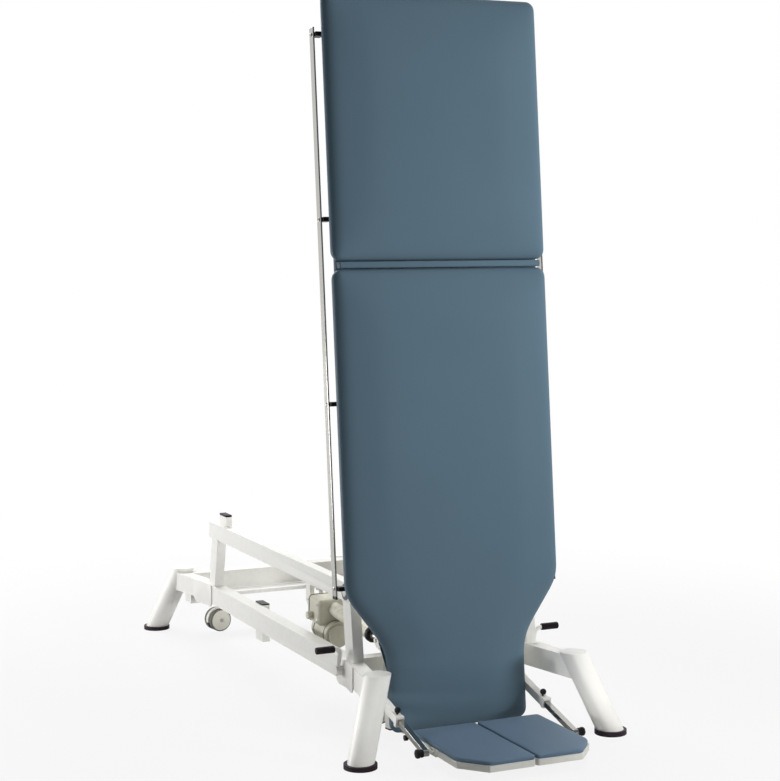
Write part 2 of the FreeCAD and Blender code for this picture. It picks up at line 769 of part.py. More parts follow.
def make_footplate():
    corners = plate_corners(board_rear_gap)
    z0, z1 = plate_hinge_z - footboard_t / 2, plate_hinge_z + footboard_t / 2
    board = Part.Face(rounded_wire(corners, at_height(z0))).extrude(V(0, 0, footboard_t))
    inner_x, outer_x = plate_split / 2, plate_half_w
    arm_x = tube_x - tube_w / 2
    spans = [(inner_x + plate_corner_r, arm_x - carrier_arm_t - arm_slot_gap),
             (arm_x + arm_slot_gap, outer_x - plate_corner_r)]
    knuckles = []
    web_front = hinge_point.y - board_rear_gap - plate_corner_r
    for start, end in spans:
        knuckles.append(block(start, end, web_front, hinge_point.y, z0, z1))
        knuckles.append(rod(knuckle_r, V(start, hinge_point.y, hinge_point.z),
                            V(end, hinge_point.y, hinge_point.z)))
    bracket_y = along(bar_pin_y)
    x0 = plate_half_w
    bracket = block(x0, x0 + pin_bracket_w, bracket_y - pin_bracket_half, bracket_y + pin_bracket_half,
                    z0, bar_pin_z + pin_bracket_half / 2)
    pin_x = strut_x + strut_bar_w / 2 + slide_gap
    pin = rod(bar_pin_r, V(x0, bracket_y, bar_pin_z), V(pin_x, bracket_y, bar_pin_z))
    head = rod(end_knob_r, V(pin_x, bracket_y, bar_pin_z), V(pin_x + end_knob_t, bracket_y, bar_pin_z))
    board = board.fuse(knuckles + [bracket, pin, head])
    board = board.cut(rod(plate_rod_r + running_fit, V(0, hinge_point.y, hinge_point.z),
                          V(outer_x, hinge_point.y, hinge_point.z))).removeSplitter()
    save("footboard_right", board)
    save("footboard_left", other_side(board))
    layer_shares = (0.0, 0.6, 0.9, 1.0)
    roll_shares = (0.0, 0.0, 0.45, 1.6)
    layers = [(z1 + footpad_t * a, pad_inset + pad_roll * b) for a, b in zip(layer_shares, roll_shares)]
    pad = layered(plate_corners(pad_rear_gap), layers, at_height)
    save("footpad_right", pad)
    save("footpad_left", other_side(pad))


def make_carrier():
    """Arms under the foot end, their cross bar behind it and the footplate's hinge rod."""
    low = -foot_end_below
    x1 = tube_x - tube_w / 2
    x0 = x1 - carrier_arm_t
    hinge_depth, hinge_height = table_local(hinge_point)
    top = low - carrier_gap
    points = [(tube_back, low + carrier_up), (board_back, low + carrier_up), (board_back, top),
              (-face_to_pivot, top), (hinge_depth + knuckle_r, hinge_height + plate_rod_r),
              (hinge_depth, hinge_height + knuckle_r), (hinge_depth - knuckle_r, hinge_height),
              (hinge_depth, hinge_height - knuckle_r), (board_back, top - carrier_arm_h),
              (tube_back, top - carrier_arm_h)]
    arm = plate_x(points, x0, x1)
    arm = arm.cut(rod(plate_rod_r, V(x0 - overrun, hinge_depth, hinge_height),
                      V(x1 + overrun, hinge_depth, hinge_height)))
    cross = block(-x0, x0, board_back, tube_back, low, low + carrier_bar_h)
    cross_bore = block(-x0 - overrun, x0 + overrun, board_back + tube_wall, tube_back - tube_wall,
                       low + tube_wall, low + carrier_bar_h - tube_wall)
    hinge_rod = rod(plate_rod_r, V(-plate_rod_half_l, hinge_depth, hinge_height),
                    V(plate_rod_half_l, hinge_depth, hinge_height))
    pieces = [arm, other_side(arm), cross.cut(cross_bore), hinge_rod]
    save("footplate_carrier", *[on_table(piece) for piece in pieces])


def on_strut(shape):
    """Put a shape built along -Y from the strut's pivot on the sloping strut."""
    sloping = turned(shape, V(0, 0, 0), strut_dip_deg)
    sloping.translate(V(strut_x, strut_pivot.y, strut_pivot.z))
    return sloping


def make_struts():
    half_w, half_h = strut_w / 2, strut_h / 2
    bar_w, bar_h = strut_bar_w / 2, strut_bar_h / 2
    length = strut_way.Length
    tube_end = -strut_tube_l
    tube = block(-half_w, half_w, tube_end, strut_tail, -half_h, half_h)
    collar = block(-half_w, half_w + collar_rim, tube_end - collar_l, tube_end,
                   -half_h - collar_rim, half_h + collar_rim)
    bore_end = tube_end - collar_l - overrun
    bore = block(-bar_w - slide_gap, bar_w + slide_gap, bore_end, overrun - bar_start / 2,
                 -bar_h - slide_gap, bar_h + slide_gap)
    pin_hole = rod(strut_pin_r + running_fit, V(-half_w - overrun, 0, 0), V(half_w + overrun, 0, 0))
    knob_y = -clamp_from_pivot
    stem_hole = rod(clamp_stem_r + running_fit, V(0, knob_y, 0), V(0, knob_y, half_h + collar_rim + overrun))
    tube = tube.fuse(collar).cut(bore).cut(pin_hole).cut(stem_hole).removeSplitter()
    eye_hole = rod(bar_pin_r + bar_pin_play, V(-bar_w - overrun, -length, 0), V(bar_w + overrun, -length, 0))
    bar = block(-bar_w, bar_w, -length, -bar_start, -bar_h, bar_h)
    bar = bar.fuse(rod(bar_eye_r, V(-bar_w, -length, 0), V(bar_w, -length, 0))).cut(eye_hole)
    stem_z = bar_h + slide_gap
    ball_z = stem_z + clamp_stem_l + clamp_ball_r
    knob = rod(clamp_stem_r, V(0, knob_y, stem_z), V(0, knob_y, ball_z))
    knob = knob.fuse(Part.makeSphere(clamp_ball_r, V(0, knob_y, ball_z)))
    for node, shape in (("strut_tube", tube), ("strut_bar", bar), ("clamp_knob", knob)):
        placed = on_strut(shape)
        save(node + "_right", placed)
        save(node + "_left", other_side(placed))


# Foot levers and castors
def make_pedals():
    y, z = along(front_beam_y), rail_middle_z
    boss_x = rail_outer_x + gusset_t + pedal_gap
    reach = boss_x + pedal_boss_w
    shaft = rod(pedal_shaft_r, V(-reach, y, z), V(reach, y, z))
    lever_x = boss_x + pedal_boss_w / 2
    root = V(lever_x, y, z)
    bend = V(lever_x, y - pedal_grip_forward, z + pedal_grip_up)
    up = bend - root
    up.normalize()
    out = V(1, 0, 0)
    start = bend - up * pedal_bend_r
    end = bend + out * pedal_bend_r
    slack = pedal_bend_r * (1 - math.sqrt(1 / 2))
    middle = bend + (out - up) * slack
    tip = V(grip_outer_x - grip_cover, bend.y, bend.z)
    path = Part.Wire([Part.LineSegment(root, start).toShape(), Part.Arc(start, middle, end).toShape(),
                      Part.LineSegment(end, tip).toShape()])
    ring = Part.Wire(Part.Circle(root, up, pedal_rod_r).toShape())
    lever = path.makePipeShell([ring], True, False)
    boss = rod(pedal_boss_r, V(boss_x, y, z), V(reach, y, z))
    lever = lever.fuse(boss).cut(rod(pedal_shaft_r, V(0, y, z), V(reach, y, z))).removeSplitter()
    save("pedal_shaft_and_levers", shaft, lever, other_side(lever))
    grip = rod(grip_r, V(grip_inner_x, bend.y, bend.z), V(grip_outer_x, bend.y, bend.z))
    ends = [edge for edge in grip.Edges if edge.Length > grip_r and len(edge.Vertexes) == 1]
    grip = grip.makeFillet(grip_cover, ends)
    grip = grip.cut(rod(pedal_rod_r, V(0, bend.y, bend.z), tip))
    save("pedal_grips", grip, other_side(grip))


lift_bar_top = rail_bottom_z - lift_bar_gap
lift_bar_low = lift_bar_top - lift_bar_t
castors = {
    "front_left": (-front_castor_x, along(front_castor_y), front_castor_turn_deg),
    "front_right": (front_castor_x, along(front_castor_y), -front_castor_turn_deg),
    "rear_left": (-rear_castor_x, along(feet_pitch_y - rear_castor_from_feet), rear_castor_turn_deg),
    "rear_right": (rear_castor_x, along(feet_pitch_y - rear_castor_from_feet), -rear_castor_turn_deg),
}


def make_lift_bars():
    for end, half in (("front", front_lift_half_l), ("rear", rear_lift_half_l)):
        x, y = castors[end + "_right"][:2]
        bar = block(-half, half, y - lift_bar_d / 2, y + lift_bar_d / 2, lift_bar_low, lift_bar_top)
        if end == "rear":
            ends = block(half - lift_end_block_l, half, y - lift_bar_d / 2, y + lift_bar_d / 2,
                         lift_bar_top - lift_end_block_t, lift_bar_top)
            bar = bar.fuse([ends, other_side(ends)]).removeSplitter()
        for side in (x, -x):
            bar = bar.cut(rod(castor_stem_r + running_fit, V(side, y, lift_bar_low - overrun),
                              V(side, y, lift_bar_top + overrun)))
        save("castor_bar_" + end, bar)


def make_castors():
    """Twin-wheel castors, built with the axle along X behind the swivel, then turned."""
    axle_z = castor_clearance + castor_wheel_r
    for corner, (x, y, turn) in castors.items():
        swivel = V(x, y, 0)
        centre = V(x, y + castor_trail, axle_z)
        inner = castor_wheel_gap / 2
        outer = inner + castor_tread_w
        wheels = []
        for sign in (1, -1):
            tread = rod(castor_wheel_r, centre + V(sign * inner, 0, 0), centre + V(sign * outer, 0, 0))
            edges = [edge for edge in tread.Edges if len(edge.Vertexes) == 1]
            tread = tread.makeFillet(castor_rim_groove, edges)
            wheels.append(tread)
        axle = rod(castor_axle_r, centre - V(outer, 0, 0), centre + V(outer, 0, 0))
        spool = wheels[0].fuse([wheels[1], axle])
        half = castor_hood_w / 2
        hood = rod(castor_hood_r, centre - V(half, 0, 0), centre + V(half, 0, 0))
        keep_top = block(centre.x - half, centre.x + half, centre.y - castor_hood_r - castor_trail,
                         centre.y + castor_hood_r, axle_z - castor_stem_r, axle_z + castor_hood_r)
        hood = hood.common(keep_top)
        collar_top = lift_bar_low - castor_side_gap
        collar = rod(castor_collar_r, V(x, y, collar_top - castor_collar_h), V(x, y, collar_top))
        neck = rod(castor_stem_r, V(x, y, axle_z + castor_stem_r), V(x, y, collar_top))
        stem = rod(castor_stem_r, V(x, y, collar_top), V(x, y, lift_bar_top))
        clear_r = castor_wheel_r + castor_side_gap + castor_side_gap
        hood = hood.fuse([collar, neck, stem])
        for sign in (1, -1):
            wide = inner - castor_side_gap
            hood = hood.cut(rod(clear_r, centre + V(sign * wide, 0, 0),
                                centre + V(sign * (outer + clear_r), 0, 0)))
        hood = hood.cut(rod(castor_axle_r + running_fit, centre - V(outer, 0, 0), centre + V(outer, 0, 0)))
        hood = hood.removeSplitter()
        save("castor_housing_" + corner, turned(hood, swivel, turn, V(0, 0, 1)))
        save("castor_wheels_" + corner, turned(spool, swivel, turn, V(0, 0, 1)))


# Tilt actuator
actuator_pivot = V(actuator_x, along(actuator_pivot_y), actuator_pivot_z)
actuator_eye = table_point(actuator_lug_depth, -actuator_lug_below) + V(actuator_x, 0, 0)
actuator_way = actuator_eye - actuator_pivot
actuator_dip_deg = math.degrees(math.atan2(-actuator_way.z, -actuator_way.y))


def on_actuator(shape):
    """Put a shape built along -Y from the rear pin on the sloping actuator."""
    sloping = turned(shape, V(0, 0, 0), actuator_dip_deg)
    sloping.translate(actuator_pivot)
    return sloping


def make_actuator():
    clevis = rod(clevis_r, V(-clevis_half_w, 0, 0), V(clevis_half_w, 0, 0))
    neck = block(-clevis_half_w, clevis_half_w, -gear_start, 0, -clevis_r, clevis_r)
    gear = block(-gear_half_w, gear_half_w, -gear_end, -gear_start, -gear_below, gear_above)
    gear = gear.makeFillet(gear_round_r, gear.Edges)
    motor = rod(motor_r, V(0, -motor_start, -motor_drop), V(0, -motor_end, -motor_drop))
    cap = rod(motor_cap_r, V(0, -motor_end, -motor_drop), V(0, -motor_end - motor_cap_t, -motor_drop))
    boss = rod(motor_boss_r, V(-gear_half_w - motor_boss_l, -motor_boss_at, -motor_boss_drop),
               V(0, -motor_boss_at, -motor_boss_drop))
    body = gear.fuse([clevis, neck, motor, cap, boss])
    tube_hole = rod(actuator_tube_r, V(0, -gear_end / 2, 0), V(0, -gear_end - overrun, 0))
    pin_hole = rod(actuator_pin_r + running_fit, V(-gear_half_w, 0, 0), V(gear_half_w, 0, 0))
    save("actuator_housing", on_actuator(body.cut(tube_hole).cut(pin_hole).removeSplitter()))
    tube = rod(actuator_tube_r, V(0, -gear_end / 2, 0), V(0, -actuator_tube_end, 0))
    bore = rod(actuator_rod_r + running_fit, V(0, -actuator_bore_start, 0),
               V(0, -actuator_tube_end - overrun, 0))
    save("actuator_tube", on_actuator(tube.cut(bore)))
    length = actuator_way.Length
    shank = rod(actuator_rod_r, V(0, -actuator_rod_start, 0), V(0, -length + actuator_eye_r / 2, 0))
    eye = rod(actuator_eye_r, V(-actuator_eye_half_w, -length, 0), V(actuator_eye_half_w, -length, 0))
    eye_hole = rod(actuator_pin_r, V(-actuator_eye_r, -length, 0), V(actuator_eye_r, -length, 0))
    save("actuator_rod", on_actuator(shank.fuse(eye).cut(eye_hole).removeSplitter()))


def make_table():
    leg_outer = make_legs()
    make_rail_ends(leg_outer)
    make_rails()
    make_crossbeams(leg_outer)
    make_gussets()
    make_posts()
    make_arms()
    make_upper_crossbeam()
    make_rest_pads()
    make_guide_tubes()
    make_cushions()
    make_frame_tubes()
    make_table_lugs()
    make_side_rails()
    make_footplate()
    make_carrier()
    make_struts()
    make_pedals()
    make_lift_bars()
    make_castors()
    make_actuator()


make_table()
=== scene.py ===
import bmesh
import bpy
import json
import math
import numpy as np
from mathutils import Matrix, Vector

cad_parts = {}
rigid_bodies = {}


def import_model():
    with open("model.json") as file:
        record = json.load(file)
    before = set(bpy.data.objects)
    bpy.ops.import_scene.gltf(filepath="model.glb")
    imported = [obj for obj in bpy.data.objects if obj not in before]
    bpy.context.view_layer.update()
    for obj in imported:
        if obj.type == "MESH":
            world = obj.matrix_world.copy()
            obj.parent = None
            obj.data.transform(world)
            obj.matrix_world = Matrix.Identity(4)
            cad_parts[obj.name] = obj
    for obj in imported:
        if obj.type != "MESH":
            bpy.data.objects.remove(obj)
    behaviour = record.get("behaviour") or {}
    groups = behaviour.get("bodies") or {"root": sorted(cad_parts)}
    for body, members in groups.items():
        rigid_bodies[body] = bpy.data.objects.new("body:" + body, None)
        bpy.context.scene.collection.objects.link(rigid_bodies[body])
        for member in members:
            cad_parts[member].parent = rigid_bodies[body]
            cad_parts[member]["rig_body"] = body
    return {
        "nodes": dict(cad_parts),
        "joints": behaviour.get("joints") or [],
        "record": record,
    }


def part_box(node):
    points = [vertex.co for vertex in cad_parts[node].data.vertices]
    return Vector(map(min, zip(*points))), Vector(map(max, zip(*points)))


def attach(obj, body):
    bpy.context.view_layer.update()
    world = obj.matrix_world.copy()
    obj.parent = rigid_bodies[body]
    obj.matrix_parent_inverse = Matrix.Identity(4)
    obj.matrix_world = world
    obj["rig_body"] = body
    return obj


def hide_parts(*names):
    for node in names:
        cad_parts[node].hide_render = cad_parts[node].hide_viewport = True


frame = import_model()
NODES = frame["nodes"]
JOINTS = {joint["name"]: joint for joint in frame["joints"]}
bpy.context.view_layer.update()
MM = 0.001
SIGNS = {"left": -1, "right": 1}
TINY = 1e-12

# The table top: lengths about the tilt hinge, depth behind it and height along the top
TILT = Vector(JOINTS["table_tilt"]["pos_m"])
LEAN = math.radians(5)
TOP_HALF_W = 315 * MM
WAIST_HALF_W = 203 * MM
FOOT_END = -371 * MM
GAP_LOW = 852 * MM
GAP_HIGH = 874 * MM
HEAD_END = 1579 * MM
WAIST_Z = -152 * MM
SHOULDER_Z = 1 * MM
WAIST_R = 150 * MM
SHOULDER_R = 105 * MM
CORNER_R = 26 * MM
PAD_BACK = -82 * MM
PAD_FACE = -128 * MM
BOARD_T = 18 * MM

# Rounding of the hard edges, and what counts as sharp or flat
TUBE_EDGE = 3.0 * MM
LEG_EDGE = 2.0 * MM
PLATE_EDGE = 1.2 * MM
FINE_EDGE = 0.6 * MM
EDGE_SEGMENTS = 2
SHARP_FROM = math.radians(30)
CREASED_FROM = math.radians(24)
FLAT_WITHIN = math.radians(0.6)
SAME_POINT = 0.01 * MM

# Creases kept in the built meshes, in degrees
FITTING_CREASE = 40
SOFT_CREASE = 60


# Meshes
def add_object(name, mesh, body, slot, replaced=()):
    """Put a finished mesh in the scene on its body, with the finish of its slot."""
    piece = bpy.data.objects.new(name, mesh)
    bpy.context.scene.collection.objects.link(piece)
    mesh.materials.clear()
    mesh.materials.append(SLOT_MATERIALS[slot])
    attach(piece, body)
    if replaced:
        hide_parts(*replaced)
    return piece


def finish_mesh(bm, name, crease_deg):
    """Turn a bmesh into a mesh with smooth faces and sharp creases."""
    mesh = bpy.data.meshes.new(name)
    bmesh.ops.recalc_face_normals(bm, faces=bm.faces)
    bm.to_mesh(mesh)
    bm.free()
    mesh.shade_smooth()
    mesh.set_sharp_from_angle(angle=math.radians(crease_deg))
    return mesh


def add_fitting(bm, name, body, slot, crease_deg=FITTING_CREASE):
    """Put a small built piece in the scene."""
    add_object(name, finish_mesh(bm, name, crease_deg), body, slot)


def table_place():
    """From the table top's own axes to the frame at rest."""
    return Matrix.Translation(TILT) @ Matrix.Rotation(-LEAN, 4, "X")


def axis_place(point, axis):
    """A place at a point, with Z along an axis."""
    turn = Vector(axis).normalized().to_track_quat("Z", "Y").to_matrix().to_4x4()
    return Matrix.Translation(Vector(point)) @ turn


def ring_points(middle, first, second, radius, steps):
    """Points round a circle that lies along two directions."""
    angles = [2 * math.pi * k / steps for k in range(steps)]
    return [middle + first * (radius * math.cos(a)) + second * (radius * math.sin(a)) for a in angles]


def join_rings(bm, low, high):
    """Faces from one ring of points to the next; a ring of one point is a tip."""
    count = max(len(low), len(high))
    for k in range(count):
        following = (k + 1) % count
        if len(low) == 1:
            bm.faces.new((low[0], high[k], high[following]))
        elif len(high) == 1:
            bm.faces.new((low[k], low[following], high[0]))
        else:
            bm.faces.new((low[k], low[following], high[following], high[k]))


def lathe(bm, profile, place, steps):
    """Turn a profile of (radius, height) points about the Z axis of a place."""
    x_axis, y_axis = Vector((1, 0, 0)), Vector((0, 1, 0))
    rings = []
    for radius, height in profile:
        middle = Vector((0, 0, height))
        ring = ring_points(middle, x_axis, y_axis, radius, steps) if radius > 0 else [middle]
        rings.append([bm.verts.new(place @ point) for point in ring])
    for low, high in zip(rings, rings[1:]):
        join_rings(bm, low, high)


BEAD_STEPS = 8
# A direction that no bead runs along, from which each ring starts
BEAD_LEAN = Vector((0.3, 0.2, 0.93))
# How far the waver turns from ring to ring, in radians
WAVER_TURN = 2.1


def bead_along(bm, points, radius, waver=0.0):
    """A round bead along a closed run of points; waver makes it thicker and thinner by turns."""
    rings = []
    for i, point in enumerate(points):
        way = (points[(i + 1) % len(points)] - points[i - 1]).normalized()
        side = way.cross(BEAD_LEAN).normalized()
        thick = radius * (1 + waver * math.sin(i * WAVER_TURN))
        ring = ring_points(point, side, way.cross(side), thick, BEAD_STEPS)
        rings.append([bm.verts.new(at) for at in ring])
    for low, high in zip(rings, rings[1:] + rings[:1]):
        join_rings(bm, low, high)


def rounded_block(bm, low, high, radius, segments):
    """A block between two corners, its edges rounded."""
    made = bmesh.ops.create_cube(bm, size=1)["verts"]
    low, high = Vector(low), Vector(high)
    for vert in made:
        vert.co = Vector((low[i] + (high[i] - low[i]) * (vert.co[i] + 0.5) for i in range(3)))
    edges = list({edge for vert in made for edge in vert.link_edges})
    bmesh.ops.bevel(bm, geom=edges, offset=radius, segments=segments, profile=0.5, affect="EDGES")


def divided(corners, step):
    """Points along a closed run of straight sides, about a step apart."""
    points = []
    for i, corner in enumerate(corners):
        following = corners[(i + 1) % len(corners)]
        pieces = max(1, round((following - corner).length / step))
        points.extend(corner.lerp(following, k / pieces) for k in range(pieces))
    return points


# Pieces of the frame whose hard edges are rounded
def rounded_piece(node, slot, width):
    """The node's own form with rounded edges, in the node's place."""
    source = NODES[node]
    bm = bmesh.new()
    bm.from_mesh(source.data)
    bmesh.ops.remove_doubles(bm, verts=bm.verts, dist=SAME_POINT)
    bmesh.ops.dissolve_limit(bm, angle_limit=FLAT_WITHIN, verts=bm.verts, edges=bm.edges)
    bm.normal_update()
    sharp = [e for e in bm.edges if len(e.link_faces) == 2 and e.calc_face_angle(0) > SHARP_FROM]
    bmesh.ops.bevel(bm, geom=sharp, offset=width, offset_type="OFFSET", segments=EDGE_SEGMENTS,
                    profile=0.5, affect="EDGES", clamp_overlap=True)
    mesh = bpy.data.meshes.new(node + "_rounded")
    bm.to_mesh(mesh)
    bm.free()
    mesh.shade_smooth()
    mesh.set_sharp_from_angle(angle=CREASED_FROM)
    add_object(node + "_rounded", mesh, source["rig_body"], slot, [node])


# Shader node groups shared by the materials
def new_group(name, inputs, outputs):
    """An empty node group with its sockets; gives the group, its input node and its output node."""
    group = bpy.data.node_groups.new(name, "ShaderNodeTree")
    for label, kind, value in inputs:
        socket = group.interface.new_socket(label, in_out="INPUT", socket_type=kind)
        socket.default_value = value
    for label, kind in outputs:
        group.interface.new_socket(label, in_out="OUTPUT", socket_type=kind)
    return group, group.nodes.new("NodeGroupInput"), group.nodes.new("NodeGroupOutput")


def math_node(tree, operation, first, second, clamped=False):
    """A math node whose inputs are sockets or numbers."""
    node = tree.nodes.new("ShaderNodeMath")
    node.operation = operation
    node.use_clamp = clamped
    for socket, value in zip(node.inputs, (first, second)):
        if isinstance(value, (int, float)):
            socket.default_value = value
        else:
            tree.links.new(value, socket)
    return node.outputs[0]


def ranged(tree, value, spans, smooth=False):
    """Carry a value from one span, low to high, over to another."""
    node = tree.nodes.new("ShaderNodeMapRange")
    node.interpolation_type = "SMOOTHSTEP" if smooth else "LINEAR"
    for label, number in zip(("From Min", "From Max", "To Min", "To Max"), spans):
        node.inputs[label].default_value = number
    tree.links.new(value, node.inputs["Value"])
    return node.outputs["Result"]


def along_axis(tree, place, axis):
    """One part of a place: its X, Y or Z."""
    split = tree.nodes.new("ShaderNodeSeparateXYZ")
    tree.links.new(place, split.inputs[0])
    return split.outputs[axis]


def place_noise(tree, scale, detail=3.0):
    """Noise over the piece's own place."""
    where = tree.nodes.new("ShaderNodeTexCoord")
    noise = tree.nodes.new("ShaderNodeTexNoise")
    tree.links.new(where.outputs["Object"], noise.inputs["Vector"])
    if isinstance(scale, (int, float)):
        noise.inputs["Scale"].default_value = scale
    else:
        tree.links.new(scale, noise.inputs["Scale"])
    noise.inputs["Detail"].default_value = detail
    return noise.outputs["Fac"]


def make_tone_drift():
    """Slow change of brightness over a surface."""
    group, given, out = new_group("tone_drift", [("Color", "NodeSocketColor", (0.5, 0.5, 0.5, 1)),
                                  ("Scale", "NodeSocketFloat", 6.0), ("Amount", "NodeSocketFloat", 0.1)],
                                  [("Color", "NodeSocketColor"), ("Mask", "NodeSocketFloat")])
    noise = place_noise(group, given.outputs["Scale"])
    centred = math_node(group, "SUBTRACT", noise, 0.5)
    swing = math_node(group, "MULTIPLY", centred, given.outputs["Amount"])
    value = math_node(group, "ADD", swing, 1.0)
    shade = group.nodes.new("ShaderNodeHueSaturation")
    group.links.new(value, shade.inputs["Value"])
    group.links.new(given.outputs["Color"], shade.inputs["Color"])
    group.links.new(shade.outputs["Color"], out.inputs["Color"])
    group.links.new(noise, out.inputs["Mask"])
    return group


RUBBED_EDGES = (0.52, 0.62, 0, 1)
RUB_BREAKS = (0.45, 0.7, 0, 1)


def make_edge_rub():
    """Where edges and corners have been rubbed, broken up by noise."""
    group, given, out = new_group("edge_rub", [("Scale", "NodeSocketFloat", 60.0),
                                  ("Amount", "NodeSocketFloat", 0.5)], [("Mask", "NodeSocketFloat")])
    geometry = group.nodes.new("ShaderNodeNewGeometry")
    edge = ranged(group, geometry.outputs["Pointiness"], RUBBED_EDGES)
    broken = ranged(group, place_noise(group, given.outputs["Scale"], 5.0), RUB_BREAKS)
    both = math_node(group, "MULTIPLY", edge, broken)
    group.links.new(math_node(group, "MULTIPLY", both, given.outputs["Amount"]), out.inputs["Mask"])
    return group


DUST_SCALE = 35.0


def make_floor_dust():
    """A soiled mask that fades with height above the floor."""
    group, given, out = new_group("floor_dust", [("Height", "NodeSocketFloat", 0.12),
                                  ("Amount", "NodeSocketFloat", 0.3)], [("Mask", "NodeSocketFloat")])
    where = group.nodes.new("ShaderNodeTexCoord")
    height = along_axis(group, where.outputs["Object"], "Z")
    share = math_node(group, "DIVIDE", height, given.outputs["Height"])
    fade = math_node(group, "SUBTRACT", 1.0, share, clamped=True)
    both = math_node(group, "MULTIPLY", fade, place_noise(group, DUST_SCALE, 6.0))
    group.links.new(math_node(group, "MULTIPLY", both, given.outputs["Amount"]), out.inputs["Mask"])
    return group


def make_coat_ripple():
    """Height of sprayed paint or of a moulded texture: soft bumps with finer ones on them."""
    group, given, out = new_group("coat_ripple", [("Scale", "NodeSocketFloat", 450.0),
                                  ("Fine", "NodeSocketFloat", 0.3)], [("Height", "NodeSocketFloat")])
    coarse = place_noise(group, given.outputs["Scale"], 1.0)
    fine = place_noise(group, math_node(group, "MULTIPLY", given.outputs["Scale"], 4.0), 2.0)
    added = math_node(group, "MULTIPLY", fine, given.outputs["Fine"])
    group.links.new(math_node(group, "ADD", coarse, added), out.inputs["Height"])
    return group


GRAIN_WARP = 4 * MM
GRAIN_WARP_SCALE = 90.0
HIDE_SWELL_SCALE = 14.0


def make_hide_grain():
    """Height of the pebbled grain pressed into the cover, with soft larger swells."""
    group, given, out = new_group("hide_grain", [("Scale", "NodeSocketFloat", 620.0),
                                  ("Swell", "NodeSocketFloat", 0.4)], [("Height", "NodeSocketFloat")])
    where = group.nodes.new("ShaderNodeTexCoord")
    warp = group.nodes.new("ShaderNodeTexNoise")
    warp.inputs["Scale"].default_value = GRAIN_WARP_SCALE
    group.links.new(where.outputs["Object"], warp.inputs["Vector"])
    bend = group.nodes.new("ShaderNodeVectorMath")
    bend.operation = "MULTIPLY_ADD"
    bend.inputs[1].default_value = (GRAIN_WARP, GRAIN_WARP, GRAIN_WARP)
    group.links.new(warp.outputs["Color"], bend.inputs[0])
    group.links.new(where.outputs["Object"], bend.inputs[2])
    cells = group.nodes.new("ShaderNodeTexVoronoi")
    cells.feature = "SMOOTH_F1"
    group.links.new(bend.outputs[0], cells.inputs["Vector"])
    group.links.new(given.outputs["Scale"], cells.inputs["Scale"])
    swell = place_noise(group, HIDE_SWELL_SCALE, 2.0)
    added = math_node(group, "MULTIPLY", swell, given.outputs["Swell"])
    group.links.new(math_node(group, "ADD", cells.outputs["Distance"], added), out.inputs["Height"])
    return group


GROUPS = {"drift": make_tone_drift(), "rub": make_edge_rub(), "dust": make_floor_dust(),
          "ripple": make_coat_ripple(), "grain": make_hide_grain()}

# Colours of rubbed places, of dirt and of the covers' sheen
RUBBED_PAINT = (0.55, 0.54, 0.50)
RUBBED_BOARD = (0.45, 0.40, 0.30)
PAINT_DIRT = (0.42, 0.39, 0.34)
RUBBER_DUST = (0.07, 0.06, 0.055)
COVER_SHEEN = (0.75, 0.85, 0.95)


# Materials
class Finish:
    """One material in the making: a Principled shader and what feeds it."""

    def __init__(self, name, roughness, metallic=0.0, **sockets):
        self.material = bpy.data.materials.new(name)
        self.material.use_nodes = True
        self.tree = self.material.node_tree
        self.shader = self.tree.nodes["Principled BSDF"]
        self.shader.inputs["Roughness"].default_value = roughness
        self.shader.inputs["Metallic"].default_value = metallic
        for label, value in sockets.items():
            self.shader.inputs[label.replace("_", " ")].default_value = value

    def group(self, key, output, **values):
        """One output of a shared node group, with its values set."""
        node = self.tree.nodes.new("ShaderNodeGroup")
        node.node_tree = GROUPS[key]
        for label, value in values.items():
            node.inputs[label].default_value = value
        return node.outputs[output]

    def color(self, tone, scale, amount):
        """The main colour with its slow drift; gives the drift's mask."""
        self.top = self.group("drift", "Color", Color=(*tone, 1), Scale=scale, Amount=amount)
        self.tree.links.new(self.top, self.shader.inputs["Base Color"])
        return self.top.node.outputs["Mask"]

    def over(self, mask, tone):
        """Lay another colour over the main one where a mask says."""
        mix = self.tree.nodes.new("ShaderNodeMix")
        mix.data_type = "RGBA"
        self.tree.links.new(mask, mix.inputs["Factor"])
        self.tree.links.new(self.top, mix.inputs["A"])
        mix.inputs["B"].default_value = (*tone, 1)
        self.tree.links.new(mix.outputs["Result"], self.shader.inputs["Base Color"])
        self.top = mix.outputs["Result"]

    def rough(self, mask, low, high):
        """Roughness that follows a mask between two values."""
        self.tree.links.new(ranged(self.tree, mask, (0, 1, low, high)), self.shader.inputs["Roughness"])

    def bump(self, height, strength, depth):
        """Bumps from a height that changes over the surface; depth is what a height of 1 stands for."""
        node = self.tree.nodes.new("ShaderNodeBump")
        node.inputs["Strength"].default_value = strength
        node.inputs["Distance"].default_value = depth
        self.tree.links.new(height, node.inputs["Height"])
        self.tree.links.new(node.outputs["Normal"], self.shader.inputs["Normal"])


def powder_coat():
    """White powder coat of the steel frame, a little dirty near the floor."""
    finish = Finish("white_powder_coat", 0.42, Specular_IOR_Level=0.5)
    drift = finish.color((0.86, 0.85, 0.81), scale=4.0, amount=0.04)
    finish.over(finish.group("rub", "Mask", Amount=0.25), RUBBED_PAINT)
    finish.over(finish.group("dust", "Mask", Height=0.10, Amount=0.25), PAINT_DIRT)
    finish.rough(drift, low=0.34, high=0.5)
    finish.bump(finish.group("ripple", "Height", Scale=420.0, Fine=0.25), strength=0.18, depth=0.6 * MM)
    return finish.material


def painted_board():
    """White paint on the boards."""
    finish = Finish("white_painted_board", 0.5)
    drift = finish.color((0.78, 0.77, 0.72), scale=7.0, amount=0.08)
    finish.over(finish.group("rub", "Mask", Amount=0.4, Scale=90.0), RUBBED_BOARD)
    finish.rough(drift, low=0.42, high=0.6)
    finish.bump(finish.group("ripple", "Height", Scale=900.0, Fine=0.6), strength=0.2, depth=0.4 * MM)
    return finish.material


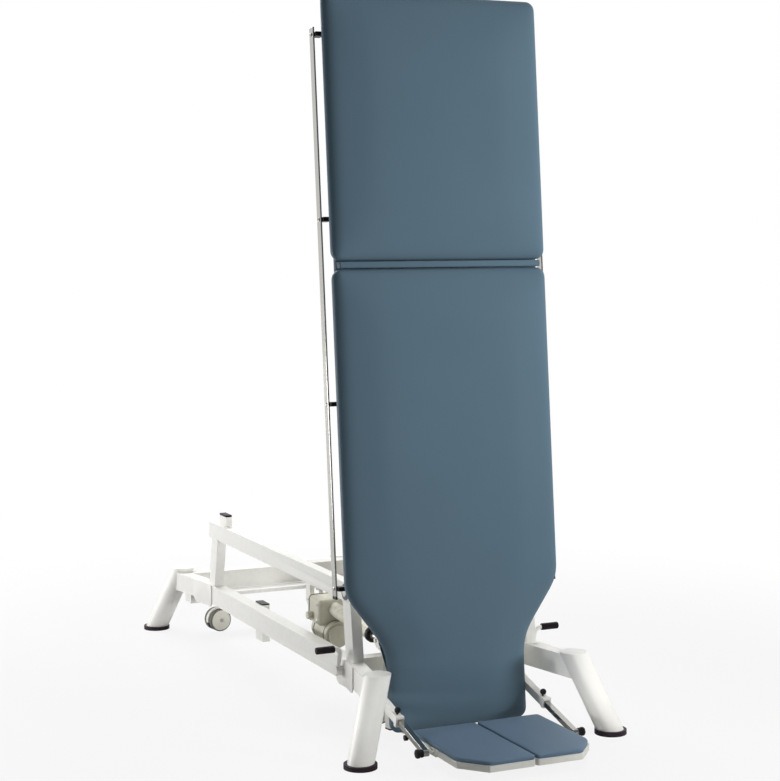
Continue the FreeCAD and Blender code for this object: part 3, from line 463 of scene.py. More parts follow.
def cover(name, tone):
    """Matt synthetic leather over foam."""
    finish = Finish(name, 0.5, Sheen_Weight=0.05, Sheen_Roughness=0.4, Specular_IOR_Level=0.28,
                    Sheen_Tint=(*COVER_SHEEN, 1))
    drift = finish.color(tone, scale=5.0, amount=0.10)
    finish.over(finish.group("rub", "Mask", Amount=0.15, Scale=40.0), tuple(v * 1.5 for v in tone))
    finish.rough(drift, low=0.46, high=0.58)
    finish.bump(finish.group("grain", "Height", Scale=620.0, Swell=0.5), strength=0.22, depth=0.5 * MM)
    return finish.material


def polished_rail():
    """Polished bright steel of the side rails and the struts' bars."""
    finish = Finish("polished_rail", 0.16, metallic=1.0)
    drift = finish.color((0.47, 0.46, 0.435), scale=9.0, amount=0.12)
    finish.rough(drift, low=0.10, high=0.24)
    finish.bump(finish.group("ripple", "Height", Scale=160.0, Fine=0.1), strength=0.03, depth=0.4 * MM)
    return finish.material


def ground_steel():
    """Turned and ground steel of shafts, pins and screws."""
    finish = Finish("ground_steel", 0.3, metallic=1.0, Anisotropic=0.4)
    drift = finish.color((0.55, 0.54, 0.52), scale=30.0, amount=0.2)
    finish.rough(drift, low=0.22, high=0.4)
    finish.bump(finish.group("ripple", "Height", Scale=1500.0, Fine=0.6), strength=0.06, depth=0.3 * MM)
    return finish.material


def moulded(name, tone, low, high, shine=0.5):
    """Moulded plastic with a fine pressed texture, its roughness between low and high."""
    finish = Finish(name, (low + high) / 2, Specular_IOR_Level=shine)
    drift = finish.color(tone, scale=14.0, amount=0.12)
    rubbed = tuple(min(1, v * 1.6 + 0.02) for v in tone)
    finish.over(finish.group("rub", "Mask", Amount=0.35, Scale=80.0), rubbed)
    finish.rough(drift, low, high)
    finish.bump(finish.group("ripple", "Height", Scale=900.0, Fine=0.7), strength=0.3, depth=0.5 * MM)
    return finish.material


def soft_rubber(name, tone):
    """Matt rubber, dusty near the floor."""
    finish = Finish(name, 0.6, Specular_IOR_Level=0.2)
    drift = finish.color(tone, scale=20.0, amount=0.3)
    finish.over(finish.group("dust", "Mask", Height=0.03, Amount=0.4), RUBBER_DUST)
    finish.rough(drift, low=0.45, high=0.75)
    finish.bump(finish.group("ripple", "Height", Scale=1300.0, Fine=0.8), strength=0.35, depth=0.5 * MM)
    return finish.material


SLOT_MATERIALS = {
    "white_paint": powder_coat(),
    "board_white": painted_board(),
    "upholstery_slate": cover("slate_cover", (0.102, 0.163, 0.212)),
    # The foot cover's tone is lighter than the slate cover's. Part of that is its own bluer colour, and part
    # is painted light from above on the upward-facing pads
    "upholstery_foot": cover("foot_cover_with_painted_top_light", (0.124, 0.191, 0.268)),
    "rail_chrome": polished_rail(),
    "bright_steel": ground_steel(),
    "black_plastic": moulded("black_plastic", (0.010, 0.0095, 0.0105), 0.3, 0.5, shine=0.2),
    "bush_plastic": moulded("bush_plastic", (0.03, 0.03, 0.032), 0.3, 0.45),
    "black_rubber": soft_rubber("foot_ring_rubber", (0.020, 0.010, 0.018)),
    "grey_plastic": moulded("housing_plastic", (0.60, 0.585, 0.48), 0.4, 0.58),
    "castor_plastic": moulded("castor_plastic", (0.84, 0.82, 0.73), 0.35, 0.5),
    "castor_tyre": soft_rubber("tread_rubber", (0.16, 0.155, 0.14)),
}
GRIP = soft_rubber("grip_rubber", (0.012, 0.008, 0.011))


def dress_nodes():
    """Every node of the frame takes the material of its slot, and the lever's grips a rubber of their own."""
    for part in frame["record"]["subparts"]:
        node = NODES[part["node"]]
        node.data.materials.clear()
        node.data.materials.append(SLOT_MATERIALS[part["material_slot"]])
    NODES["pedal_grips"].data.materials[0] = GRIP


# Cushions
def rounded_ends(half_width, low, high, radius):
    """Half width along a pad whose end corners are rounded."""
    def width(place):
        inside = min(place - low, high - place)
        full = half_width(place)
        if inside >= radius:
            return full
        return full - radius + math.sqrt(max(0, radius ** 2 - (radius - max(inside, 0)) ** 2))
    return width


def waisted_half_width(place):
    """Half width of the lower cushion: straight, then drawn in to the foot part."""
    slope = (TOP_HALF_W - WAIST_HALF_W) / (SHOULDER_Z - WAIST_Z)
    half_turn = math.atan(slope) / 2
    waist_back = WAIST_R * math.tan(half_turn)
    shoulder_back = SHOULDER_R * math.tan(half_turn)
    full_turn = 2 * half_turn
    waist_start = WAIST_Z - waist_back
    waist_end = WAIST_Z + waist_back * math.cos(full_turn)
    shoulder_start = SHOULDER_Z - shoulder_back * math.cos(full_turn)
    shoulder_end = SHOULDER_Z + shoulder_back
    if place <= waist_start:
        return WAIST_HALF_W
    if place < waist_end:
        return WAIST_HALF_W + WAIST_R - math.sqrt(WAIST_R ** 2 - (place - waist_start) ** 2)
    if place <= shoulder_start:
        return WAIST_HALF_W + (place - WAIST_Z) * slope
    if place < shoulder_end:
        return TOP_HALF_W - SHOULDER_R + math.sqrt(SHOULDER_R ** 2 - (shoulder_end - place) ** 2)
    return TOP_HALF_W


# How far the outermost rows and columns of a pad lie from its edge
EDGE_STEPS = [v * MM for v in (0, 0.8, 2.2, 4.4, 7.5, 11.5, 16.5, 23, 32, 44)]


def spread(low, high, step):
    """Places from low to high, close together at both ends."""
    inner_low, inner_high = low + EDGE_STEPS[-1], high - EDGE_STEPS[-1]
    count = max(2, round((inner_high - inner_low) / step))
    middle = [inner_low + (inner_high - inner_low) * k / count for k in range(1, count)]
    return [low + e for e in EDGE_STEPS] + middle + [high - e for e in reversed(EDGE_STEPS)]


def edge_distance(points, outline):
    """How far each flat point lies from a closed outline."""
    starts = np.array(outline)
    ways = np.roll(starts, -1, axis=0) - starts
    lengths = np.maximum((ways ** 2).sum(1), TINY)
    best = np.full(len(points), np.inf)
    for start, way, length in zip(starts, ways, lengths):
        share = np.clip(((points - start) @ way) / length, 0, 1)
        gap = points - (start + share[:, None] * way)
        best = np.minimum(best, (gap ** 2).sum(1))
    return np.sqrt(best)


# How a pad's crown rises, where its roll is evened out, in shares of the roll's width, where the cover
# gets free to swell, in a share of the crown's width, and the levels of its side, in shares of its height
CROWN_POWER = 2.2
EVENING_PASSES = 12
EVENING_FROM_SHARE = 0.2
EVENING_OVER_SHARE = 0.7
FREE_OVER_SHARE = 0.8
SIDE_SHARES = (0.72, 0.4, 0.12, 0.0)


def rise(share):
    """A curve from 0 to 1 that leaves 0 steeply and ends level."""
    return 1 - (1 - np.clip(share, 0, 1)) ** CROWN_POWER


def ease(share):
    """A curve from 0 to 1 that is level at both ends."""
    share = np.clip(share, 0, 1)
    return share * share * (3 - 2 * share)


def evened(heights, places, shares, part):
    """Heights on a grid drawn toward their neighbours' mean, each point by its own part."""
    gap_rows, gap_cols = np.diff(places)[:, None], np.diff(shares)[None, :]
    low_row, high_row, low_col, high_col = gap_rows[:-1], gap_rows[1:], gap_cols[:, :-1], gap_cols[:, 1:]
    heights, inner = heights.copy(), (slice(1, -1), slice(1, -1))
    for _ in range(EVENING_PASSES):
        down = (heights[2:, 1:-1] * low_row + heights[:-2, 1:-1] * high_row) / (low_row + high_row)
        over = (heights[1:-1, 2:] * low_col + heights[1:-1, :-2] * high_col) / (low_col + high_col)
        heights[inner] += ((down + over) / 2 - heights[inner]) * part[inner]
    return heights


def face_relief(away, across, along, rows, shares, shape):
    """Height of a pad's face over its back, and how free each point of it is to swell."""
    roll_width, crown_width = shape["roll_width"], shape["crown_width"]
    roll = shape["roll_depth"] * np.sqrt(1 - (1 - np.clip(away / roll_width, 0, 1)) ** 2)
    part = ease((away - EVENING_FROM_SHARE * roll_width) / (EVENING_OVER_SHARE * roll_width))
    roll = evened(roll, rows, shares, part)
    crown = shape["crown"] * rise(across / crown_width) * rise(along / crown_width)
    free_width = FREE_OVER_SHARE * crown_width
    return shape["side"] + roll + crown, ease(across / free_width) * ease(along / free_width)


def close_pad(bm, ring, outline, shape):
    """Close a pad behind its face: sides that draw in, a hem and the back."""
    count = len(ring)
    outward = []
    for k in range(count):
        way = outline[(k + 1) % count] - outline[k - 1]
        outward.append(Vector((way.y, -way.x)).normalized())
    for share, inset in [*zip(SIDE_SHARES, shape["side_insets"]), (0, shape["hem"])]:
        lower = []
        for k in range(count):
            at = outline[k] - outward[k] * inset
            lower.append(bm.verts.new((at.x, -shape["side"] * share, at.y)))
        for k in range(count):
            following = (k + 1) % count
            bm.faces.new((ring[k], lower[k], lower[following], ring[following]))
        ring = lower
    bm.faces.new(ring)


def pad_mesh(name, left, right, low, high, shape, cell):
    """A closed pad: rows along its length, each from its left to its right edge.

    shape holds the heights of side, roll and crown, with their widths and the insets behind the face.
    Gives the mesh and, for each point, how free it is to swell."""
    rows = spread(low, high, cell)
    widest = max(right(r) - left(r) for r in rows)
    shares = [v / widest for v in spread(0, widest, cell)]
    flat = [[Vector((left(r) + (right(r) - left(r)) * s, r)) for s in shares] for r in rows]
    last_row, last_col = len(rows) - 1, len(shares) - 1
    loop = [(0, j) for j in range(last_col + 1)] + [(i, last_col) for i in range(1, last_row + 1)]
    loop += [(last_row, j) for j in range(last_col - 1, -1, -1)]
    loop += [(i, 0) for i in range(last_row - 1, 0, -1)]
    outline = [flat[i][j] for i, j in loop]
    every = np.array([[p.x, p.y] for row in flat for p in row])
    away = edge_distance(every, [(p.x, p.y) for p in outline]).reshape(len(rows), len(shares))
    across = np.array([[(right(r) - left(r)) * min(s, 1 - s) for s in shares] for r in rows])
    along = np.array([[min(r - low, high - r)] for r in rows])
    heights, loose = face_relief(away, across, along, rows, shares, shape)
    bm = bmesh.new()
    front = []
    for row, tops in zip(flat, heights):
        front.append([bm.verts.new((p.x, -top, p.y)) for p, top in zip(row, tops)])
    for i in range(last_row):
        for j in range(last_col):
            bm.faces.new((front[i][j], front[i][j + 1], front[i + 1][j + 1], front[i + 1][j]))
    close_pad(bm, [front[i][j] for i, j in loop], outline, shape)
    bmesh.ops.triangulate(bm, faces=[f for f in bm.faces if len(f.verts) > 4])
    bmesh.ops.recalc_face_normals(bm, faces=bm.faces)
    bm.verts.index_update()
    freedom = [0.0] * len(bm.verts)
    for i, row in enumerate(front):
        for j, vert in enumerate(row):
            freedom[vert.index] = loose[i, j]
    mesh = bpy.data.meshes.new(name)
    bm.to_mesh(mesh)
    bm.free()
    return mesh, freedom


COVER_PRESSURE = 4.0
RUN_FRAMES = 20
# Points that are no freer than this stay where they are in the run
HELD_UP_TO = 0.1


def swollen(mesh, freedom, most):
    """Let the cover stretch over its filling with a cloth run, no point further than most."""
    scene = bpy.context.scene
    holder = bpy.data.objects.new(mesh.name + "_run", mesh)
    scene.collection.objects.link(holder)
    held = holder.vertex_groups.new(name="held")
    for index, value in enumerate(freedom):
        held.add([index], 1.0 if value <= HELD_UP_TO else 0.0, "REPLACE")
    cloth = holder.modifiers.new("cover", "CLOTH")
    settings = cloth.settings
    settings.quality = 5
    settings.mass = 0.3
    settings.use_pressure = True
    settings.uniform_pressure_force = COVER_PRESSURE
    settings.tension_stiffness = 25
    settings.compression_stiffness = 25
    settings.shear_stiffness = 12
    settings.bending_stiffness = 4
    settings.vertex_group_mass = "held"
    settings.effector_weights.gravity = 0
    cloth.collision_settings.use_collision = False
    cloth.point_cache.frame_start, cloth.point_cache.frame_end = 1, RUN_FRAMES
    for number in range(1, RUN_FRAMES + 1):
        scene.frame_set(number)
    shown = holder.evaluated_get(bpy.context.evaluated_depsgraph_get()).to_mesh()
    moved = np.empty(len(mesh.vertices) * 3)
    shown.vertices.foreach_get("co", moved)
    rest = np.empty_like(moved)
    mesh.vertices.foreach_get("co", rest)
    step = (moved - rest).reshape(-1, 3)
    size = np.linalg.norm(step, axis=1)
    cap = most * np.tanh(size / most) * np.clip(np.array(freedom), 0, 1)
    step *= (cap / np.maximum(size, TINY))[:, None]
    holder.to_mesh_clear()
    holder.modifiers.clear()
    bpy.data.objects.remove(holder)
    scene.frame_set(1)
    mesh.vertices.foreach_set("co", (rest.reshape(-1, 3) + step).ravel())
    mesh.update()
    return mesh


def subdivided(mesh):
    """The mesh after one level of subdivision, smooth all over."""
    holder = bpy.data.objects.new(mesh.name + "_fine", mesh)
    bpy.context.scene.collection.objects.link(holder)
    finer = holder.modifiers.new("finer", "SUBSURF")
    finer.levels = 1
    finer.render_levels = 1
    shown = holder.evaluated_get(bpy.context.evaluated_depsgraph_get())
    result = bpy.data.meshes.new_from_object(shown)
    bpy.data.objects.remove(holder)
    result.shade_smooth()
    return result


CUSHION_SHAPE = {"side": 13 * MM, "roll_depth": 24 * MM, "roll_width": 62 * MM, "crown": 10 * MM,
                 "crown_width": 150 * MM, "hem": 24 * MM,
                 "side_insets": [v * MM for v in (0.5, 1.2, 2.4, 4.0)]}
CUSHION_CELL = 16 * MM
CUSHION_SWELL = 4 * MM


def make_cushion(node, half_width, low, high):
    """One cushion of the table top, from its low to its high end."""
    width = rounded_ends(half_width, low, high, CORNER_R)
    name = node + "_cover"
    mesh, freedom = pad_mesh(name, lambda r: -width(r), width, low, high, CUSHION_SHAPE, CUSHION_CELL)
    mesh = subdivided(swollen(mesh, freedom, CUSHION_SWELL))
    mesh.transform(table_place() @ Matrix.Translation((0, PAD_BACK, 0)))
    piece = add_object(name, mesh, "table", "upholstery_slate", [node])


STRIP_BEHIND_FACE = 20 * MM
STRIP_T = 17 * MM
STRIP_ROUNDING = 3.5 * MM
STRIP_CLEARANCE = 1 * MM
BATTEN_H = 49 * MM
BATTEN_ROUNDING = 1.5 * MM


def make_gap_strip():
    """The covered strip behind the gap between the cushions, on its batten."""
    low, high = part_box("gap_strip")
    half = (high.x - low.x) / 2
    middle = (GAP_LOW + GAP_HIGH) / 2
    strip, batten = STRIP_T / 2, BATTEN_H / 2
    bm = bmesh.new()
    rounded_block(bm, (-half, PAD_FACE + STRIP_BEHIND_FACE, middle - strip),
                  (half, PAD_BACK - STRIP_CLEARANCE, middle + strip), STRIP_ROUNDING, segments=4)
    rounded_block(bm, (-half, PAD_BACK, middle - batten),
                  (half, PAD_BACK + BOARD_T, middle + batten), BATTEN_ROUNDING, segments=2)
    mesh = finish_mesh(bm, "gap_strip_cover", SOFT_CREASE)
    mesh.transform(table_place())
    piece = add_object("gap_strip_cover", mesh, "table", "upholstery_slate", ["gap_strip"])


FOOTPAD_SHAPE = {"side": 7 * MM, "roll_depth": 5.5 * MM, "roll_width": 6 * MM, "crown": 1.5 * MM,
                 "crown_width": 60 * MM, "hem": 12 * MM,
                 "side_insets": [v * MM for v in (0.2, 0.4, 0.8, 1.4)]}
FOOTPAD_CELL = 11 * MM
FOOTPAD_SWELL = 1.5 * MM
FOOTPAD_CORNER = 9 * MM
CUT_W = 58 * MM
CUT_L = 66 * MM
CUT_BLEND = 16 * MM
# How far the pads reach past their nodes toward the table top; more touches the carrier when they fold up
PAD_REACH = 5.5 * MM


def make_footpad(side):
    """One half of the footplate's cover, with its cut front corner."""
    low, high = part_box("footpad_" + side)
    inner = min(abs(low.x), abs(high.x))
    outer = max(abs(low.x), abs(high.x))
    front, rear = low.y, high.y + PAD_REACH

    def cut_edge(place):
        past_cut = place - front - CUT_L
        if abs(past_cut) < CUT_BLEND:
            return outer - (CUT_BLEND - past_cut) ** 2 / (4 * CUT_BLEND) * CUT_W / CUT_L
        return outer + min(past_cut, 0) * CUT_W / CUT_L

    far = rounded_ends(cut_edge, front, rear, FOOTPAD_CORNER)
    near = rounded_ends(lambda place: -inner, front, rear, FOOTPAD_CORNER)
    to_left, to_right = (far, near) if side == "left" else (near, far)
    name = "footpad_" + side + "_cover"
    mesh, freedom = pad_mesh(name, lambda r: -to_left(r), to_right, front, rear, FOOTPAD_SHAPE, FOOTPAD_CELL)
    mesh = subdivided(swollen(mesh, freedom, FOOTPAD_SWELL))
    lay_flat = Matrix(((1, 0, 0, 0), (0, 0, 1, 0), (0, -1, 0, low.z), (0, 0, 0, 1)))
    mesh.transform(lay_flat)
    piece = add_object(name, mesh, "footplate_" + side, "upholstery_foot", ["footpad_" + side])


def make_soft_pieces():
    """Both cushions, the strip between them and the pads of the footplate."""
    make_cushion("cushion_lower", waisted_half_width, FOOT_END, GAP_LOW)
    make_cushion("cushion_upper", lambda place: TOP_HALF_W, GAP_HIGH, HEAD_END)
    make_gap_strip()
    for side in SIGNS:
        make_footpad(side)


# Steel frame, boards, rails and caps
ROUNDED = {
    "white_paint": (TUBE_EDGE, [
        "base_rail_left", "base_rail_right", "rail_ends", "front_crossbeam", "rear_crossbeam", "front_posts",
        "rear_posts", "upper_arm_left", "upper_arm_right", "table_tube_left", "table_tube_right",
        "table_cross_tubes", "guide_tubes"]),
    "board_white": (PLATE_EDGE, ["support_boards", "footboard_left", "footboard_right"]),
    "rail_chrome": (PLATE_EDGE, ["side_rail_left", "side_rail_right"]),
    "black_plastic": (PLATE_EDGE, ["guide_tube_caps", "side_rail_spacers"]),
}
ROUNDED_PLATES = ["corner_gussets", "upper_crossbeam", "table_lugs", "castor_bar_front", "castor_bar_rear",
                  "footplate_carrier", "strut_tube_left", "strut_tube_right"]


def make_rounded_pieces():
    """The nodes whose edges show, each with its own rounding."""
    for slot, (width, nodes) in ROUNDED.items():
        for node in nodes:
            rounded_piece(node, slot, width)
    for node in ROUNDED_PLATES:
        rounded_piece(node, "white_paint", PLATE_EDGE)
    for side in SIGNS:
        rounded_piece("strut_bar_" + side, "rail_chrome", FINE_EDGE)
        rounded_piece("leg_front_" + side, "white_paint", LEG_EDGE)
        rounded_piece("leg_rear_" + side, "white_paint", LEG_EDGE)


# Small fittings; the profiles are (radius, height) points, in mm or in shares of a screw's radius
HUB_PROFILE = [(33.6, -0.6), (33.6, 0.5), (32.4, 1.3), (30.4, 1.5), (29.8, 0.7), (28.8, 0.7), (28.2, 1.8),
               (20, 2.5), (9, 2.9), (8, 1.9), (6.6, 1.9)]
AXLE_SCREW_PROFILE = [(6.6, 1.9), (6.2, 3.2), (4.0, 3.6), (3.4, 2.2), (0, 2.2)]
KNOB_PROFILE = [(7, -0.1), (9.6, 0.2), (10.4, 1.2), (10.4, 6), (9.6, 7.5), (9.6, 9), (11.6, 10.5),
                (11.9, 16.5), (10.8, 18.6), (6, 19.8), (0, 20)]
SCREW_PROFILE_SHARES = [(1.0, 0.0), (1.0, 0.22), (0.86, 0.42), (0.5, 0.5), (0.46, 0.12), (0, 0.12)]
SCREW_STEPS = 24
CAP_STEPS = 48
WHEEL_FACE = 26 * MM


def scaled(profile, size):
    """A profile made larger or smaller."""
    return [(radius * size, height * size) for radius, height in profile]


def castor_caps(corner):
    """Smooth caps on both faces of a wheel pair, with an axle screw in each."""
    joint = JOINTS["castor_roll_" + corner]
    centre, axis = Vector(joint["pos_m"]), Vector(joint["axis"])
    caps, screws = bmesh.new(), bmesh.new()
    for sign in (1, -1):
        place = axis_place(centre + axis * (sign * WHEEL_FACE), axis * sign)
        lathe(caps, scaled(HUB_PROFILE, MM), place, CAP_STEPS)
        lathe(screws, scaled(AXLE_SCREW_PROFILE, MM), place, SCREW_STEPS)
    body = "castor_spool_" + corner
    add_fitting(caps, "castor_caps_" + corner, body, "castor_plastic")
    add_fitting(screws, "castor_screws_" + corner, body, "bright_steel")


STRUT_PIN_X = 222.8 * MM
STRUT_PIN_Y = -839 * MM
STRUT_PIN_Z = 37 * MM
KNOB_STEPS = 36
KNOB_LOBES = 6
LOBES_BEYOND = 10.6 * MM
LOBE_DEPTH_SHARE = 0.07


def strut_end_knob(side):
    """The black hand knob on the pin where a strut meets the footplate."""
    sign = SIGNS[side]
    pin = Vector((sign * STRUT_PIN_X, STRUT_PIN_Y, STRUT_PIN_Z))
    bm = bmesh.new()
    lathe(bm, scaled(KNOB_PROFILE, MM), axis_place(pin, (sign, 0, 0)), KNOB_STEPS)
    for vert in bm.verts:
        around = vert.co - pin
        if math.hypot(around.y, around.z) > LOBES_BEYOND:
            angle = math.atan2(around.z, around.y)
            share = 1 - LOBE_DEPTH_SHARE * (0.5 - 0.5 * math.cos(KNOB_LOBES * angle))
            vert.co.y = pin.y + around.y * share
            vert.co.z = pin.z + around.z * share
    add_fitting(bm, "strut_end_knob_" + side, "footplate_" + side, "black_plastic")


SPACER_LOWEST = 18 * MM
SPACER_STEP = 484 * MM
SPACERS = 4
RAIL_OUTER_X = 329 * MM
RAIL_DEPTH = -53.5 * MM
RAIL_SCREW_R = 5.2 * MM


def rail_screws(side):
    """Button screws through the side rail into its spacers."""
    sign = SIGNS[side]
    bm = bmesh.new()
    for k in range(SPACERS):
        at = table_place() @ Vector((sign * RAIL_OUTER_X, RAIL_DEPTH, SPACER_LOWEST + SPACER_STEP * k))
        lathe(bm, scaled(SCREW_PROFILE_SHARES, RAIL_SCREW_R), axis_place(at, (sign, 0, 0)), SCREW_STEPS)
    add_fitting(bm, "rail_screws_" + side, "table", "bright_steel")


TUBE_BACK = -34 * MM
BOARD_SCREW_X = 170 * MM
BOARD_SCREW_R = 6.5 * MM
BOARD_SCREW_HEIGHTS = [v * MM for v in (-250, -60, 160, 420, 680, 960, 1180, 1400)]


def board_screws():
    """Screws through the long tubes into the boards, seen from behind."""
    bm = bmesh.new()
    turn = table_place()
    way = turn.to_3x3() @ Vector((0, 1, 0))
    for x in (-BOARD_SCREW_X, BOARD_SCREW_X):
        for height in BOARD_SCREW_HEIGHTS:
            at = turn @ Vector((x, TUBE_BACK, height))
            lathe(bm, scaled(SCREW_PROFILE_SHARES, BOARD_SCREW_R), axis_place(at, way), SCREW_STEPS)
    add_fitting(bm, "board_screws", "table", "bright_steel")


WELD_R = 2.0 * MM
WELD_STEP = 4 * MM
WELD_WAVER = 0.14
POST_HALF_X = 15 * MM
POST_HALF_Y = 27.5 * MM
BEAM_HALF = 20 * MM


def weld_loop(bm, centre, first, second):
    """A bead round a tube's end, whose section reaches from its middle by two half sides."""
    corners = []
    for a, b in ((-1, -1), (1, -1), (1, 1), (-1, 1)):
        corners.append(Vector([at + a * one + b * two for at, one, two in zip(centre, first, second)]))
    bead_along(bm, divided(corners, WELD_STEP), WELD_R, WELD_WAVER)


def weld_beads():
    """Beads where posts, beams and rails meet."""
    bm = bmesh.new()
    front_low, front_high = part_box("front_posts")
    rear_low, rear_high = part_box("rear_posts")
    rail_low, rail_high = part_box("base_rail_right")
    beam_low, beam_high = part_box("front_crossbeam")
    upper_low, upper_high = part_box("upper_crossbeam")
    rail_x = (rail_low.x + rail_high.x) / 2
    front_ends = (front_low.y + POST_HALF_Y, front_high.y - POST_HALF_Y)
    rear_ends = (rear_high.y - POST_HALF_Y, rear_low.y + POST_HALF_Y)
    beam_y, beam_z = (beam_low.y + beam_high.y) / 2, (beam_low.z + beam_high.z) / 2
    beam_half_z = (beam_high.z - beam_low.z) / 2
    upper_y, upper_z = upper_low.y + BEAM_HALF, upper_high.z - BEAM_HALF
    for sign in SIGNS.values():
        for foot_y, head_y in (front_ends, rear_ends):
            for y, z in ((foot_y, front_low.z), (head_y, front_high.z)):
                weld_loop(bm, (sign * rail_x, y, z), (POST_HALF_X, 0, 0), (0, POST_HALF_Y, 0))
        weld_loop(bm, (sign * beam_high.x, beam_y, beam_z), (0, BEAM_HALF, 0), (0, 0, beam_half_z))
        weld_loop(bm, (sign * upper_high.x, upper_y, upper_z), (0, BEAM_HALF, 0), (0, 0, BEAM_HALF))
    add_fitting(bm, "weld_beads", "base", "white_paint", SOFT_CREASE)


def actuator_place():
    """From the actuator's own axes, along -Y from its rear pin, to the frame at rest."""
    origin = Vector(JOINTS["actuator_pivot"]["pos_m"])
    back = -Vector(JOINTS["actuator_stroke"]["axis"]).normalized()
    side = Vector((1, 0, 0))
    up = side.cross(back)
    return Matrix(((side.x, back.x, up.x, origin.x), (side.y, back.y, up.y, origin.y),
                   (side.z, back.z, up.z, origin.z), (0, 0, 0, 1)))


# The housing seam and motor seams are drawn as black beads and rings: painted shade for the dark lines at the
# housing's and the motor's splits
# Along the actuator, from its rear pin
SEAM_AT = 38 * MM
MOTOR_SEAMS = (46 * MM, 118 * MM)
WIPER_AT = 379 * MM
HOUSING_SCREWS = [(along * MM, height * MM) for along, height in ((32, 14), (32, -34), (98, 14), (98, -34))]

# Across the actuator
HOUSING_HALF_W = 50 * MM
SEAM_PROUD = 0.2 * MM
SEAM_TOP = 28.2 * MM
SEAM_FOOT = -48.2 * MM
SEAM_CORNER = 12 * MM
SEAM_R = 1.3 * MM
MOTOR_Z = -70 * MM
HOUSING_SCREW_R = 4.2 * MM
HOUSING_SCREW_STEPS = 20
WIPER_STEPS = 40
ARC_STEP = 15
MOTOR_SEAM_PROFILE = [(37.8, -1.5), (38.6, -1.0), (38.6, 1.0), (37.8, 1.5)]
WIPER_PROFILE = [(20.1, -6), (22.5, -5), (22.5, 5), (20.5, 7.5), (11.2, 7.5), (11.2, 5.5)]


def housing_seam():
    """Points round the housing, with its four corners as arcs."""
    x, top, foot = HOUSING_HALF_W + SEAM_PROUD - SEAM_CORNER, SEAM_TOP - SEAM_CORNER, SEAM_FOOT + SEAM_CORNER
    points = []
    for mid_x, mid_z, start in ((x, top, 0), (-x, top, 90), (-x, foot, 180), (x, foot, 270)):
        for turn in range(0, 90 + ARC_STEP, ARC_STEP):
            angle = math.radians(start + turn)
            points.append(Vector((mid_x + SEAM_CORNER * math.cos(angle), -SEAM_AT,
                                  mid_z + SEAM_CORNER * math.sin(angle))))
    return points


def actuator_trim():
    """Seams, screws and the wiper ring of the actuator's housing; the seams are black beads that paint the
    shade of its split lines.
    """
    place = actuator_place()
    down = place.to_3x3() @ Vector((0, -1, 0))
    dark, bright = bmesh.new(), bmesh.new()
    # The seam beads and motor rings are black as painted shade of the split lines; the wiper ring shares
    # their black mesh
    bead_along(dark, [place @ point for point in housing_seam()], SEAM_R)
    for along in MOTOR_SEAMS:
        centre = place @ Vector((0, -along, MOTOR_Z))
        lathe(dark, scaled(MOTOR_SEAM_PROFILE, MM), axis_place(centre, down), CAP_STEPS)
    collar = place @ Vector((0, -WIPER_AT, 0))
    lathe(dark, scaled(WIPER_PROFILE, MM), axis_place(collar, down), WIPER_STEPS)
    for sign in SIGNS.values():
        way = place.to_3x3() @ Vector((sign, 0, 0))
        for along, height in HOUSING_SCREWS:
            at = place @ Vector((sign * HOUSING_HALF_W, -along, height))
            profile = scaled(SCREW_PROFILE_SHARES, HOUSING_SCREW_R)
            lathe(bright, profile, axis_place(at, way), HOUSING_SCREW_STEPS)
    add_fitting(dark, "actuator_seam_shade_and_wiper", "actuator", "black_plastic")
    add_fitting(bright, "actuator_screws", "actuator", "bright_steel")


def make_fittings():
    """Caps, knobs, screws, welds, and the actuator's seams drawn black as painted shade."""
    for end in ("front", "rear"):
        for side in SIGNS:
            castor_caps(end + "_" + side)
    for side in SIGNS:
        strut_end_knob(side)
        rail_screws(side)
    board_screws()
    weld_beads()
    actuator_trim()


# Camera, floor and light; lengths here are in metres and the camera's angles in radians
CAMERA_AT = Vector((-2.0486, -4.6974, 1.3125))
CAMERA_YAW = 0.423926
CAMERA_PITCH = 0.0852601
CAMERA_ROLL = -0.00514763
FOCAL_PIXELS = 1744.575
PHOTO_HEIGHT = 781
SENSOR_MM = 36


def make_camera():
    """The photograph's own view: its place, turn and focal length."""
    data = bpy.data.cameras.new("view")
    data.sensor_width = SENSOR_MM
    data.lens = FOCAL_PIXELS * SENSOR_MM / PHOTO_HEIGHT
    camera = bpy.data.objects.new("view", data)
    bpy.context.scene.collection.objects.link(camera)
    flat_ahead = Vector((math.sin(CAMERA_YAW), math.cos(CAMERA_YAW), 0))
    ahead = flat_ahead * math.cos(CAMERA_PITCH) - Vector((0, 0, math.sin(CAMERA_PITCH)))
    flat_right = Vector((math.cos(CAMERA_YAW), -math.sin(CAMERA_YAW), 0))
    flat_up = flat_right.cross(ahead)
    right = flat_right * math.cos(CAMERA_ROLL) + flat_up * math.sin(CAMERA_ROLL)
    turn = Matrix((right, right.cross(ahead), -ahead)).transposed()
    camera.matrix_world = Matrix.Translation(CAMERA_AT) @ turn.to_4x4()
    bpy.context.scene.camera = camera


FLOOR_HALF = 30
FLOOR_TONE = (0.52, 0.52, 0.52)
# Where each change starts and ends, and its values there
FLOOR_SHEEN_SPANS = (0.8, 3.2, 0.12, 0.95)
FLOOR_FADE_SPANS = (0.9, 2.6, 0.86, 1.0)
ROOM_SHEEN_SPANS = (-0.15, 0.4, 0.10, 1.0)
WORLD_FILL = 0.13
WORLD_TINT = (0.94, 0.97, 1.0)


def seen_directly(tree, path):
    """1 for what the camera sees straight on or through something clear, else 0."""
    return math_node(tree, "MAXIMUM", path.outputs["Is Camera Ray"], path.outputs["Is Transmission Ray"])


def mix_shaders(tree, share, first, second, out):
    """Put out the first shader, and the second one by its share."""
    mix = tree.nodes.new("ShaderNodeMixShader")
    for source, socket in zip((share, first.outputs[0], second.outputs[0]), mix.inputs):
        tree.links.new(source, socket)
    tree.links.new(mix.outputs[0], out.inputs[0])


